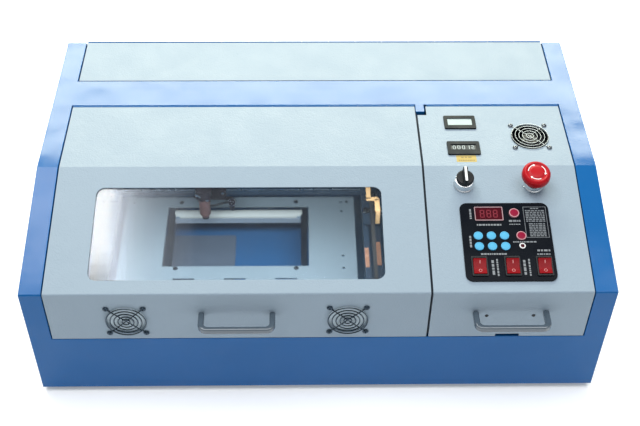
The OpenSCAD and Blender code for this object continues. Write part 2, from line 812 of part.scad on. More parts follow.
module fan_rotor() {
    color([0.05, 0.05, 0.06]) translate([fan_x, fan_y, top_z - sheet - fan_t + 3]) {
        difference() {
            cylinder(r = 12, h = fan_t - 4.5);
            translate([0, 0, -1]) cylinder(r = fan_pin_r + hinge_fit, h = fan_t - 5);
        }
        for (k = [0 : fan_blades - 1])
            rotate([0, 0, k * 360 / fan_blades]) translate([11, 0, (fan_t - 4.5) / 2]) rotate([38, 0, 0])
                translate([0, -6.5, -0.6]) cube([15, 13, 1.2]);
    }
}

module fan_guard() {
    color("silver") translate([fan_x, fan_y, top_z]) wire_guard();
}

// Control panel

module panel_bore(x, s, r) {
    on_slope(x, s, -1) cylinder(r = r, h = plate_t + 2);
}

module control_faceplate() {
    color([0.08, 0.09, 0.1]) difference() {
        on_slope(plate_x, plate_s) linear_extrude(plate_t) rounded_rect(plate_size, plate_size, plate_corner);
        for (x = button_x, s = button_s) panel_bore(x, s, button_r + button_fit);
        for (b = [laser_switch, test]) panel_bore(b[0], b[1], b[2] + button_fit);
        for (x = rocker_x) on_slope(x, rocker_s, -1) linear_extrude(plate_t + 2)
            square([rocker_w + 2, rocker_l + 2], center = true);
        on_slope(display[0], display[1], -1) linear_extrude(plate_t + 2)
            square([display[2], display[3]], center = true);
    }
}

module power_display() {
    color([0.35, 0.05, 0.08]) {
        on_slope(display[0], display[1], plate_t) linear_extrude(1.6)
            rounded_rect(display[2] + 4.6, display[3] + 4.3, 1.5);
        on_slope(display[0], display[1], -10) linear_extrude(10 + plate_t + tiny)
            square([display[2] - 0.4, display[3] - 0.4], center = true);
        on_slope(lamp[0], lamp[1], plate_t) cylinder(r = lamp[2], h = 1.5);
    }
}

// A sprung push button that runs in the faceplate, with a flange behind it.
module push_button(x, s, r, rise) {
    on_slope(x, s) {
        translate([0, 0, -1.8]) cylinder(r = r, h = plate_t + 1.8 + rise);
        translate([0, 0, -1.8]) cylinder(r = r + 1.2, h = 1.5);
    }
}

module laser_switch_button() {
    color([0.75, 0.1, 0.14]) push_button(laser_switch[0], laser_switch[1], laser_switch[2], 3);
}

module test_button() {
    color([0.75, 0.1, 0.14]) push_button(test[0], test[1], test[2], 1.6);
}

// Regulator buttons 1 to 3 are in the upper row and 4 to 6 in the lower row.
module regulator_button(n) {
    color([0.3, 0.7, 0.9]) push_button(button_x[(n - 1) % 3], button_s[floor((n - 1) / 3)], button_r, 1.6);
}

module rocker_frames() {
    color([0.05, 0.05, 0.05]) for (x = rocker_x) on_slope(x, rocker_s) difference() {
        union() {
            translate([0, 0, plate_t]) linear_extrude(2) rounded_rect(rocker_w + 4.6, rocker_l + 5.4, 1.5);
            translate([0, 0, -16]) linear_extrude(16 + plate_t + tiny)
                square([rocker_w + 1.8, rocker_l + 1.8], center = true);
        }
        translate([0, 0, -13]) linear_extrude(20)
            square([rocker_w + 2 * rocker_gap, rocker_l + 2 * rocker_gap], center = true);
        translate([-rocker_w / 2 - 0.8, 0, -3]) rotate([0, 90, 0])
            cylinder(r = 1.5 + hinge_fit, h = rocker_w + 1.6);
    }
}

// Side view of a rocker: its two faces meet in a shallow valley above the pivot.
module rocker(n) {
    l = rocker_l / 2 - 1.4;
    color([0.75, 0.07, 0.14]) on_slope(rocker_x[n - 1], rocker_s, -3) rotate([rocker_rest, 0, 0]) {
        rotate([90, 0, 90]) translate([0, 0, -rocker_w / 2]) linear_extrude(rocker_w)
            polygon([[-l, 10.2], [0, 7.4], [l, 10.2], [l - 1.5, 2], [3, -5], [-3, -5], [-l + 1.5, 2]]);
        translate([-rocker_w / 2 - 0.6, 0, 0]) rotate([0, 90, 0]) cylinder(r = 1.5, h = rocker_w + 1.2);
    }
}

base_pan();
front_panel();
left_side_panel();
right_side_panel();
rear_panel();
top_frame();
tube_bay_wall();
electronics_wall();
rubber_feet();
hinge_frame_leaves();
hinge_pins();
bed_plate();
bed_studs();
clamp_rails();
clamp_jaw();
y_rails();
y_motor();
y_drive_shaft();
gantry_beam();
x_motor();
laser_head();
laser_tube();
tube_clamps();
laser_power_supply();
controller_board();
exhaust_outlet();
rear_fittings();
front_lid();
front_lid_leaf();
lid_window();
lid_handle();
lid_vent_guards();
rear_lid();
rear_lid_leaf();
control_lid();
control_lid_leaf();
control_handle();
temperature_display();
hour_counter();
switch_collars();
selector_knob();
estop_stem();
estop_head();
fan_frame();
fan_rotor();
fan_guard();
control_faceplate();
power_display();
laser_switch_button();
test_button();
regulator_button(1);  // regulator_button_1
regulator_button(2);  // regulator_button_2
regulator_button(3);  // regulator_button_3
regulator_button(4);  // regulator_button_4
regulator_button(5);  // regulator_button_5
regulator_button(6);  // regulator_button_6
rocker_frames();
rocker(1);  // rocker_switch_1
rocker(2);  // rocker_switch_2
rocker(3);  // rocker_switch_3
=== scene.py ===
"""Desktop laser cutter: materials, lights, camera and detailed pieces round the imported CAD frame."""
import json
import math
import random

import bmesh
import bpy
from mathutils import Matrix, Vector


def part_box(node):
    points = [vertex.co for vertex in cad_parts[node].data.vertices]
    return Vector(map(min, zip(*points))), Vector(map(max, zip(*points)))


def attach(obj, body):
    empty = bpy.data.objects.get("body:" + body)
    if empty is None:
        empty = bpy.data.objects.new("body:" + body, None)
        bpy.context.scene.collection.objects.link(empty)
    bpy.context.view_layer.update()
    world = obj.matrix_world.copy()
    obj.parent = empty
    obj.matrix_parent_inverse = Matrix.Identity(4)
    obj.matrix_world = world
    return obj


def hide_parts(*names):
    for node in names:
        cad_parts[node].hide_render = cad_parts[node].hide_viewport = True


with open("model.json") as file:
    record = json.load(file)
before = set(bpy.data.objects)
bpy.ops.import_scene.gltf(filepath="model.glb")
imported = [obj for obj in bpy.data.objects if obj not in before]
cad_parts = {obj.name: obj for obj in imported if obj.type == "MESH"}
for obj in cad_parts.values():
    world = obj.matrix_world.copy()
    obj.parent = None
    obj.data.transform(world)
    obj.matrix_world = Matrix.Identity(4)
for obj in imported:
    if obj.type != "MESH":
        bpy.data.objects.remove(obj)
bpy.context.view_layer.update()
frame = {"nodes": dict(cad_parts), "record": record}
NODES = frame["nodes"]
BODY_OF = {n: b for b, ns in frame["record"]["behaviour"]["bodies"].items() for n in ns}
SLOT_OF = {s["node"]: s["material_slot"] for s in frame["record"]["subparts"]}
HERE = Matrix.Identity(4)
CORNERS = ((-1, -1), (-1, 1), (1, -1), (1, 1))
MM = 0.001
PRINT = 0.00012  # thickness of printed marks
RAILS_X = (-0.325, 0.085)  # middle of each side rail
PULLEY_RADIUS = 0.0064
PULLEY_WIDTH = 0.008
SWITCH_BORE = 0.00815  # radius of the bore in the switch collars
FILM_TOP = 2  # height of the faceplate above the lid, in millimetres

# The case, read from the frame.
FRONT_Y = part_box("front_panel")[0].y
BACK_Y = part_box("rear_panel")[1].y
TOP_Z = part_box("top_frame")[1].z
FLOOR_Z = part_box("base_pan")[1].z
RAIL_TOP_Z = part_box("y_rails")[0].z + 0.016
SLOPE_DEPTH = 0.2
SLOPE_DROP = 0.048


# ---- Helpers: places


def move(x, y, z):
    return Matrix.Translation((x, y, z))


def spin(degrees, axis):
    return Matrix.Rotation(math.radians(degrees), 4, axis)


def polar(radius, angle):
    return radius * math.cos(angle), radius * math.sin(angle)


def spaced(low, high, margin, count):
    """Evenly spaced places between two ends, a margin away from both."""
    return [low + margin + k * (high - low - 2 * margin) / (count - 1) for k in range(count)]


def circle(steps):
    """The angles of evenly spaced points round a circle."""
    return [2 * math.pi * k / steps for k in range(steps)]


SLOPE_ANGLE = math.degrees(math.atan2(SLOPE_DROP, SLOPE_DEPTH))
SLOPE = move(0, FRONT_Y + SLOPE_DEPTH, TOP_Z) @ spin(SLOPE_ANGLE, "X")


def local_box(node, matrix):
    """Lowest and highest corner of a CAD node in the axes of matrix."""
    inverse = matrix.inverted()
    points = [inverse @ v.co for v in NODES[node].data.vertices]
    return [Vector([pick(p[i] for p in points) for i in range(3)]) for pick in (min, max)]


def centre(node):
    """The middle of a CAD node's box."""
    low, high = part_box(node)
    return (low + high) / 2


def at(x, s, h=0.0):
    """Axes on the slope at x, s down it and h over it in millimetres: X right, Y up it, Z outwards."""
    return SLOPE @ move(x * MM, -s * MM, h * MM)


def on_top(node):
    c = centre(node)
    return move(c.x, c.y, TOP_Z)


def on_front(x, z):
    """Axes on the front face: X right, Y up, Z outwards."""
    return move(x, FRONT_Y, z) @ spin(90, "X")


def on_back(x, z, out=0.0):
    """Axes on the rear face: X to the machine's left, Y up, Z outwards."""
    return move(x, BACK_Y + out, z) @ spin(180, "Z") @ spin(90, "X")


# ---- Helpers: meshes


def add_box(bm, low, high, matrix=HERE):
    corners = [(x, y, z) for z in (low[2], high[2]) for y in (low[1], high[1]) for x in (low[0], high[0])]
    v = [bm.verts.new(matrix @ Vector(c)) for c in corners]
    for a, b, c, d in ((0, 2, 3, 1), (4, 5, 7, 6), (0, 1, 5, 4), (2, 6, 7, 3), (0, 4, 6, 2), (1, 3, 7, 5)):
        bm.faces.new((v[a], v[b], v[c], v[d]))


def bridge(bm, a, b):
    """Faces between two closed loops with as many vertices."""
    for i in range(len(a)):
        j = (i + 1) % len(a)
        bm.faces.new((a[i], a[j], b[j], b[i]))


def add_loft(bm, low, z0, high, z1, matrix=HERE):
    """A closed solid from an outline at z0 to another at z1."""
    a = [bm.verts.new(matrix @ Vector((x, y, z0))) for x, y in low]
    b = [bm.verts.new(matrix @ Vector((x, y, z1))) for x, y in high]
    bm.faces.new(list(reversed(a)))
    bm.faces.new(b)
    bridge(bm, a, b)


def add_prism(bm, outline, z0, z1, matrix=HERE):
    add_loft(bm, outline, z0, outline, z1, matrix)


def rounded_outline(w, l, r):
    """The outline of a rounded rectangle about the origin."""
    points = []
    steps = 6
    for cx, cy, start in ((1, 1, 0), (-1, 1, 90), (-1, -1, 180), (1, -1, 270)):
        for k in range(steps + 1):
            x, y = polar(r, math.radians(start + 90 * k / steps))
            points.append((cx * (w / 2 - r) + x, cy * (l / 2 - r) + y))
    return points


def add_lathe(bm, profile, matrix=HERE, steps=48):
    """Turns a profile of (radius, height) points about Z. A radius of 0 closes an end."""
    rings = []
    for r, z in profile:
        angles = circle(steps) if r > 0 else [0]
        rings.append([bm.verts.new(matrix @ Vector((*polar(r, a), z))) for a in angles])
    for lower, upper in zip(rings, rings[1:]):
        for k in range(steps):
            n = (k + 1) % steps
            corners = [ring[i % len(ring)] for ring, i in ((lower, k), (lower, n), (upper, n), (upper, k))]
            face = list(dict.fromkeys(corners))
            if len(face) > 2:
                bm.faces.new(face)


def pipe(bore, radius, z0, z1):
    """The lathe profile of a plain pipe."""
    return [(bore, z0), (radius, z0), (radius, z1), (bore, z1), (bore, z0)]


def add_ring(bm, major, minor, matrix=HERE, steps=64, sides=10):
    """A wire ring about Z."""
    loops = []
    for a in circle(steps):
        section = [polar(minor, b) for b in circle(sides)]
        loops.append([bm.verts.new(matrix @ Vector((*polar(major + out, a), z))) for out, z in section])
    for a, b in zip(loops, loops[1:] + loops[:1]):
        bridge(bm, a, b)


def add_wire(bm, points, radius, sides=10):
    """A round wire with flat ends along a list of points."""
    points = [Vector(p) for p in points]
    rings = []
    up = None
    for i, p in enumerate(points):
        tangent = (points[min(i + 1, len(points) - 1)] - points[max(i - 1, 0)]).normalized()
        if up is None:
            up = tangent.orthogonal().normalized()
        up = (up - tangent * up.dot(tangent)).normalized()
        side = tangent.cross(up)
        section = [polar(radius, a) for a in circle(sides)]
        rings.append([bm.verts.new(p + up * u + side * v) for u, v in section])
    for a, b in zip(rings, rings[1:]):
        bridge(bm, a, b)
    bm.faces.new(list(reversed(rings[0])))
    bm.faces.new(rings[-1])


def smooth_path(points):
    """Catmull-Rom curve through the points."""
    p = [Vector(q) for q in points]
    p = [2 * p[0] - p[1]] + p + [2 * p[-1] - p[-2]]
    out = []
    steps = 8
    for a, b, c, d in zip(p, p[1:], p[2:], p[3:]):
        for k in range(steps):
            t = k / steps
            out.append(0.5 * (2 * b + (c - a) * t + (2 * a - 5 * b + 4 * c - d) * t ** 2
                              + (3 * b - a - 3 * c + d) * t ** 3))
    return out + [p[-2]]


def add_frame(bm, outer, hole, shift, z0, z1, matrix=HERE):
    """A flat frame: outer and hole are (width, length, corner radius), shift moves the hole along Y."""
    loops = []
    for size, dy in ((outer, 0.0), (hole, shift)):
        for z in (z0, z1):
            loops.append([bm.verts.new(matrix @ Vector((x, y + dy, z))) for x, y in rounded_outline(*size)])
    out_low, out_high, in_low, in_high = loops
    for a, b in ((out_low, out_high), (out_high, in_high), (in_high, in_low), (in_low, out_low)):
        bridge(bm, a, b)


def add_arc(bm, r0, r1, start, end, z0, z1, matrix=HERE):
    """A flat bow between two radii, from one angle to another in degrees."""
    steps = 12
    angles = [math.radians(start + (end - start) * k / steps) for k in range(steps + 1)]
    outline = [polar(r1, a) for a in angles] + [polar(r0, a) for a in reversed(angles)]
    add_prism(bm, outline, z0, z1, matrix)


def add_print(bm, x, y, w, l, lines, per_line, matrix, z=0.0, upright=False, seed=1):
    """Rows of short dashes in place of small print, in a block centred on x, y."""
    rng = random.Random(seed)
    long, wide = (l, w) if upright else (w, l)
    pitch = wide / lines
    gap, thick = 0.12, 0.32 * pitch
    for i in range(lines):
        across = wide / 2 - (i + 0.5) * pitch
        shares = [rng.uniform(0.6, 1.4) for _ in range(per_line)]
        step = long / sum(shares)
        along = -long / 2
        for share in shares:
            a, b = along + gap * step, along + share * step - gap * step
            along += share * step
            low, high = (a, across - thick), (b, across + thick)
            if upright:
                low, high = (-across - thick, -b), (-across + thick, -a)
            add_box(bm, (x + low[0], y + low[1], z), (x + high[0], y + high[1], z + PRINT), matrix)


# The seven strokes of a digit, as boxes in a cell 1 wide and 2 high, and the strokes of each digit.
STROKES = {"a": (0, 1.8, 1, 2), "b": (0.8, 1, 1, 2), "c": (0.8, 0, 1, 1), "d": (0, 0, 1, 0.2),
           "e": (0, 0, 0.2, 1), "f": (0, 1, 0.2, 2), "g": (0, 0.9, 1, 1.1)}
DIGITS = {"0": "abcdef", "1": "bc", "2": "abged", "8": "abcdefg"}


def add_digits(bm, digits, x, y, height, pitch, matrix, z):
    """Numerals made of seven strokes, in a row centred on x, y."""
    size = height / 2
    left = x - (len(digits) - 1) * pitch / 2 - size / 2
    for i, digit in enumerate(digits):
        for stroke in DIGITS[digit]:
            x0, y0, x1, y1 = [size * v for v in STROKES[stroke]]
            place = Vector((left + i * pitch, y - height / 2, z))
            add_box(bm, place + Vector((x0, y0, 0)), place + Vector((x1, y1, PRINT)), matrix)


def add_screw(bm, matrix, radius, height):
    """A pan head with a round recess."""
    shares = [(0, 0), (1, 0), (1, 0.35), (0.86, 0.75), (0.55, 1), (0.28, 1.02), (0.22, 0.6), (0, 0.55)]
    add_lathe(bm, [(radius * r, height * z) for r, z in shares], matrix, 24)


def mark_bends(mesh):
    """Keeps the fold between two large panels crisp."""
    least_area, least_angle = 0.002, math.radians(8)
    panels = {}
    for p in mesh.polygons:
        if p.area > least_area:
            for key in p.edge_keys:
                panels.setdefault(key, []).append(p)
    for edge in mesh.edges:
        pair = panels.get(edge.key, [])
        if len(pair) == 2 and pair[0].normal.angle(pair[1].normal) > least_angle:
            edge.use_edge_sharp = True


def mesh_of(name, bm):
    """Turns a bmesh into a mesh, and frees it."""
    mesh = bpy.data.meshes.new(name)
    bm.to_mesh(mesh)
    bm.free()
    return mesh


def new_object(name, data):
    made = bpy.data.objects.new(name, data)
    bpy.context.scene.collection.objects.link(made)
    return made


def make_piece(name, bm, material, body, edge=0.0, segments=2, angle=30, replaced=()):
    """Turns a bmesh into a piece that rides on a body, with softened edges."""
    bmesh.ops.recalc_face_normals(bm, faces=bm.faces)
    mesh = mesh_of(name, bm)
    piece = new_object(name, mesh)
    for p in mesh.polygons:
        p.use_smooth = True
    mesh.set_sharp_from_angle(angle=math.radians(80 if edge else angle))
    if edge:
        mark_bends(mesh)
        bevel = piece.modifiers.new("edges", "BEVEL")
        bevel.width = edge
        bevel.segments = segments
        bevel.limit_method = "ANGLE"
        bevel.angle_limit = math.radians(angle)
        piece.modifiers.new("normals", "WEIGHTED_NORMAL").keep_sharp = True
    mesh.materials.append(material)
    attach(piece, body)
    if replaced:
        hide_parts(*replaced)


def merge_flat(bm):
    """Makes the flat faces of a triangle mesh whole again."""
    bmesh.ops.remove_doubles(bm, verts=bm.verts, dist=2e-6)
    bmesh.ops.dissolve_limit(bm, angle_limit=math.radians(0.6), verts=bm.verts, edges=bm.edges)
    return bm


def cad_mesh(node):
    bm = bmesh.new()
    bm.from_mesh(NODES[node].data)
    return merge_flat(bm)


def welded_mesh(nodes):
    """The union of CAD nodes that are welded together."""
    objects = [new_object("weld", mesh_of("weld", cad_mesh(n))) for n in nodes]
    first = objects[0]
    for other in objects[1:]:
        union = first.modifiers.new("union", "BOOLEAN")
        union.operation = "UNION"
        union.solver = "EXACT"
        union.object = other
    bpy.context.view_layer.update()
    evaluated = first.evaluated_get(bpy.context.evaluated_depsgraph_get())
    bm = bmesh.new()
    bm.from_mesh(evaluated.to_mesh())
    evaluated.to_mesh_clear()
    for o in objects:
        mesh = o.data
        bpy.data.objects.remove(o)
        bpy.data.meshes.remove(mesh)
    return merge_flat(bm)


def softened(node, material, edge, segments=2):
    """A copy of a CAD node with softened edges, which stands for it."""
    make_piece(node + "_body", cad_mesh(node), material, BODY_OF[node], edge, segments,
               replaced=(node,))


# ---- Helpers: materials


class Surface:
    """A node material built round one Principled shader."""

    def __init__(self, name, colour, roughness=0.5, metallic=0.0, **sockets):
        self.material = bpy.data.materials.new(name)
        self.material.use_nodes = True
        self.tree = self.material.node_tree
        self.shader = self.tree.nodes["Principled BSDF"]
        self.colour = (*colour, 1.0)
        self.shader.inputs["Base Color"].default_value = self.colour
        self.shader.inputs["Roughness"].default_value = roughness
        self.shader.inputs["Metallic"].default_value = metallic
        for key, value in sockets.items():
            self.shader.inputs[key.replace("_", " ")].default_value = value
        self.place = self.node("ShaderNodeTexCoord").outputs["Object"]
        self.height = None

    def node(self, kind, inputs=None, **settings):
        made = self.tree.nodes.new(kind)
        for key, value in settings.items():
            setattr(made, key, value)
        for key, value in (inputs or {}).items():
            made.inputs[key].default_value = value
        return made

    def link(self, source, target):
        self.tree.links.new(source, target)

    def noise(self, scale, detail=2.0, roughness=0.5, stretch=(1, 1, 1)):
        mapping = self.node("ShaderNodeMapping", {"Scale": stretch})
        self.link(self.place, mapping.inputs["Vector"])
        noise = self.node("ShaderNodeTexNoise", {"Scale": scale, "Detail": detail, "Roughness": roughness})
        self.link(mapping.outputs["Vector"], noise.inputs["Vector"])
        return noise.outputs["Fac"]

    def spread(self, value, low, high, to_low, to_high):
        """Maps a 0 to 1 signal from low..high to to_low..to_high."""
        limits = {"From Min": low, "From Max": high, "To Min": to_low, "To Max": to_high}
        ranged = self.node("ShaderNodeMapRange", limits)
        self.link(value, ranged.inputs["Value"])
        return ranged.outputs["Result"]

    def tint(self, value, other):
        """Mixes the base colour with another by a 0 to 1 signal."""
        mix = self.node("ShaderNodeMix", data_type="RGBA")
        self.link(value, mix.inputs["Factor"])
        socket = self.shader.inputs["Base Color"]
        if socket.is_linked:
            self.link(socket.links[0].from_socket, mix.inputs["A"])
        else:
            mix.inputs["A"].default_value = self.colour
        mix.inputs["B"].default_value = (*other, 1.0)
        self.link(mix.outputs["Result"], socket)

    def vary_roughness(self, scale, low, high, detail=3.0, stretch=(1, 1, 1)):
        signal = self.spread(self.noise(scale, detail, stretch=stretch), 0.3, 0.7, low, high)
        self.link(signal, self.shader.inputs["Roughness"])

    def bump(self, value, strength, distance):
        """Adds a relief to the ones before it."""
        bump = self.node("ShaderNodeBump", {"Strength": strength, "Distance": distance})
        self.link(value, bump.inputs["Height"])
        if self.height is not None:
            self.link(self.height, bump.inputs["Normal"])
        self.height = bump.outputs["Normal"]
        self.link(self.height, self.shader.inputs["Normal"])


def paint(name, colour, roughness, peel, dusty=0.06, shine=0.5, wavy=0.0):
    """Stoved paint on sheet steel: orange peel, slight mottling and dust, and wavy sheet where it mirrors."""
    s = Surface(name, colour, roughness, Specular_IOR_Level=shine)
    s.bump(s.noise(420.0, 3.0), peel, 0.0004)
    s.bump(s.noise(90.0, 2.0), peel * 0.5, 0.0006)
    if wavy:
        s.bump(s.noise(9.0, 1.6), wavy, 0.005)
    faded = [min(1, c * 1.25 + 0.03) for c in colour]
    s.tint(s.spread(s.noise(7.0, 4.0, 0.6), 0.42, 0.75, 0.0, dusty * 2), faded)
    s.tint(s.spread(s.noise(620.0, 1.0), 0.62, 0.8, 0.0, dusty), [c * 0.7 for c in colour])
    s.vary_roughness(25.0, roughness * 0.85, min(1.0, roughness * 1.2))
    return s.material


def metal(name, colour, roughness, brushed=(1, 1, 1), strength=0.12):
    """Metal with fine lines along the axis whose stretch is small."""
    s = Surface(name, colour, roughness, 1.0)
    s.bump(s.noise(600.0, 3.0, 0.6, brushed), strength, 0.0002)
    s.vary_roughness(60.0, roughness * 0.8, min(1.0, roughness * 1.35), 4.0, brushed)
    s.tint(s.spread(s.noise(14.0, 3.0), 0.45, 0.8, 0.0, 0.25), [c * 0.75 for c in colour])
    return s.material


def plastic(name, colour, roughness, grain=0.12, coat=0.0, scale=900.0, shine=0.5):
    """Moulded plastic with a fine grain."""
    s = Surface(name, colour, roughness, Coat_Weight=coat, Coat_Roughness=0.1, Specular_IOR_Level=shine)
    s.bump(s.noise(scale, 2.0), grain, 0.00015)
    s.vary_roughness(45.0, roughness * 0.85, min(1.0, roughness * 1.2))
    s.tint(s.spread(s.noise(30.0, 3.0), 0.4, 0.8, 0.0, 0.3), [min(1, c * 1.3 + 0.006) for c in colour])
    return s.material


def glass(name, colour, roughness, mottling):
    """Clear glass that lets the lamps through to what is behind it."""
    s = Surface(name, colour, roughness, Transmission_Weight=1.0, IOR=1.49)
    s.vary_roughness(18.0, roughness, roughness * 1.8 + 0.01)
    s.tint(s.spread(s.noise(9.0, 3.0), 0.5, 0.8, 0.0, mottling), [c * 0.9 for c in colour])
    clear = s.node("ShaderNodeBsdfTransparent", {"Color": (*colour, 1.0)})
    mix = s.node("ShaderNodeMixShader")
    s.link(s.node("ShaderNodeLightPath").outputs["Is Shadow Ray"], mix.inputs["Fac"])
    s.link(s.shader.outputs["BSDF"], mix.inputs[1])
    s.link(clear.outputs["BSDF"], mix.inputs[2])
    s.link(mix.outputs["Shader"], s.tree.nodes["Material Output"].inputs["Surface"])
    return s.material


BLUE = paint("blue_enamel", (0.006, 0.098, 0.296), 0.17, 0.09, shine=0.22, wavy=0.9)
PAN_BLUE = paint("dull_blue", (0.016, 0.068, 0.162), 0.4, 0.1, shine=0.3)
# Darker than the case blue: partly the wall's own blue paint, partly painted shade under the lid.
WALL_BLUE_SHADED = paint("wall_blue_painted_shade", (0.016, 0.055, 0.12), 0.45, 0.1, shine=0.2)
LID = paint("pale_powder_coat", (0.268, 0.334, 0.396), 0.34, 1.0, dusty=0.025, shine=0.13)
INNER = paint("inner_grey_steel", (0.55, 0.58, 0.6), 0.45, 0.08)
ALUMINIUM = metal("brushed_aluminium", (0.62, 0.64, 0.67), 0.34, (0.05, 1, 1))
CHROME = metal("chrome_wire", (0.13, 0.142, 0.155), 0.12, strength=0.02)
# Chrome with a dark colour: a painted dark reflection of what lies in front of and below the vents, not
# weathering.
DARK_CHROME = metal("chrome_darkened_for_reflection", (0.04, 0.058, 0.078), 0.13, strength=0.02)
HANDLE = paint("handle_grey", (0.062, 0.086, 0.11), 0.13, 0.03, shine=1.0)
BAFFLE = paint("baffle_grey", (0.56, 0.66, 0.72), 0.5, 0.1)
ZINC = metal("zinc_plate", (0.42, 0.44, 0.46), 0.42, strength=0.04)
STEEL = metal("turned_steel", (0.55, 0.55, 0.57), 0.28)
ANODISED = metal("black_anodised", (0.055, 0.056, 0.062), 0.42)
MOTOR = plastic("motor_black", (0.02, 0.02, 0.022), 0.45)
RUBBER = plastic("foot_rubber", (0.018, 0.018, 0.018), 0.75, 0.3, scale=400.0)
BLACK = plastic("black_plastic", (0.01, 0.011, 0.013), 0.36, shine=0.25)
BEZEL = plastic("bezel_grey", (0.008, 0.012, 0.015), 0.42, shine=0.1)
FILM = plastic("faceplate_film", (0.003, 0.0045, 0.0075), 0.2, 0.03, shine=0.085)
RED = plastic("signal_red", (0.38, 0.004, 0.009), 0.36, 0.03, shine=0.18)
ROCKER_RED = plastic("rocker_red", (0.21, 0.002, 0.005), 0.3, 0.02, shine=0.1)
BUTTON_BLUE = plastic("button_blue", (0.075, 0.355, 0.56), 0.36, 0.03, shine=0.2)
WHITE = plastic("print_white", (0.78, 0.78, 0.78), 0.5, 0.02)
GREY_PRINT = plastic("print_grey", (0.13, 0.145, 0.16), 0.5, 0.02)
YELLOW = plastic("label_yellow", (0.42, 0.31, 0.085), 0.45, 0.03, shine=0.2)
PINK = plastic("ring_pink", (0.48, 0.22, 0.25), 0.4, 0.02)
STEM = plastic("stem_grey", (0.55, 0.55, 0.52), 0.4)
BOARD = plastic("board_green", (0.01, 0.13, 0.05), 0.35, 0.05)
DISPLAY = plastic("display_red_window", (0.05, 0.002, 0.006), 0.14, 0.0, shine=0.16)
PALE_WINDOW = plastic("pale_window", (0.36, 0.44, 0.44), 0.3, 0.0, shine=0.1)
DIGIT = plastic("digit_silver", (0.44, 0.5, 0.5), 0.35, 0.02, shine=0.2)
BELT = plastic("belt_rubber", (0.02, 0.02, 0.02), 0.6, 0.2)
AMBER = plastic("ribbon_amber", (0.88, 0.55, 0.26), 0.25, 0.02, coat=0.5)
ACRYLIC = glass("window_acrylic", (0.89, 0.955, 1.0), 0.03, 0.15)
TUBE_GLASS = glass("tube_glass", (0.96, 0.98, 1.0), 0.0, 0.1)
COUNTER_FACE = plastic("counter_face", (0.012, 0.016, 0.018), 0.25, 0.02, shine=0.15)
COUNTER_WHEEL = plastic("counter_wheel", (0.03, 0.038, 0.042), 0.4, 0.02, shine=0.15)
LABEL_INK = plastic("label_ink", (0.2, 0.15, 0.05), 0.5, 0.02)
COLLAR = metal("satin_chrome", (0.78, 0.79, 0.8), 0.2, strength=0.04)
DISPLAY_EDGE = plastic("display_edge", (0.36, 0.22, 0.24), 0.35, 0.03)
UNLIT = plastic("unlit_digit", (0.2, 0.01, 0.022), 0.2, 0.0, coat=0.6)
KEY_RED = plastic("key_red", (0.22, 0.004, 0.028), 0.36, 0.03, shine=0.1)
BUTTON_RIM = plastic("button_rim", (0.08, 0.37, 0.6), 0.34, 0.03)
MARK = plastic("rocker_mark", (0.62, 0.26, 0.25), 0.4, 0.02)
FACE_PRINT = plastic("faceplate_print", (0.17, 0.185, 0.2), 0.5, 0.02)
PLATE = paint("bed_plate_grey", (0.115, 0.151, 0.174), 0.4, 0.06)
RAIL_GREY = metal("rail_grey", (0.13, 0.17, 0.22), 0.42, (1, 0.05, 1))
JAW = paint("clamp_silver", (0.28, 0.31, 0.305), 0.38, 0.05, shine=0.2)
JAW_LIP = paint("clamp_lip", (0.16, 0.2, 0.24), 0.35, 0.03, shine=0.2)
# Dark blue-grey for the clamp's base: painted shade between the bar and the lip.
JAW_BASE_SHADE = paint("clamp_base_painted_shade", (0.077, 0.13, 0.19), 0.35, 0.05)
BAY_STRIP = paint("bay_strip", (0.034, 0.09, 0.155), 0.5, 0.1, shine=0.2)
LENS_BROWN = paint("lens_tube_brown", (0.085, 0.05, 0.048), 0.3, 0.03, shine=0.5)
RAIL_BLACK = paint("rail_black", (0.014, 0.026, 0.042), 0.42, 0.03, shine=0.25)
SCREW_DARK = metal("dark_screw", (0.12, 0.13, 0.15), 0.4)
FLOOR_SHEET = plastic("floor_sheet_grey", (0.058, 0.078, 0.108), 0.7, 0.4, scale=260.0)
HEAD_BLACK = paint("head_black", (0.014, 0.012, 0.015), 0.36, 0.04, shine=0.3)
# Near black for the electronics wall: painted shade, so the gaps between the lids look dark; the wall itself
# is case blue.
PAINTED_GAP_SHADE = paint("painted_gap_shade", (0.006, 0.012, 0.022), 0.5, 0.05, shine=0.2)
BRASS = metal("brass", (0.6, 0.44, 0.22), 0.28)
# Warm amber for two strips on the right rail: painted warm highlights, not tape.
RAIL_GLINT = plastic("rail_glint_paint", (0.22, 0.115, 0.075), 0.25, 0.05, coat=0.3)

SLOT_MATERIAL = {
    "case_blue": BLUE, "lid_grey": LID, "inner_steel": INNER, "bright_metal": ALUMINIUM,
    "chrome_wire": CHROME, "steel_pins": STEEL, "dark_rail": ANODISED, "motor_black": MOTOR,
    "rubber_black": RUBBER, "tube_glass": TUBE_GLASS, "window_acrylic": ACRYLIC, "board_green": BOARD,
    "bezel_grey": BEZEL, "black_plastic": BLACK, "faceplate_black": FILM, "display_red": DISPLAY,
    "stem_grey": STEM, "signal_red": RED, "button_blue": BUTTON_BLUE,
}


# ---- The case and lids


def dress_cad():
    """Every CAD node gets its slot's material; most are then replaced by finer pieces."""
    for name, obj in NODES.items():
        obj.data.materials.clear()
        obj.data.materials.append(SLOT_MATERIAL[SLOT_OF[name]])


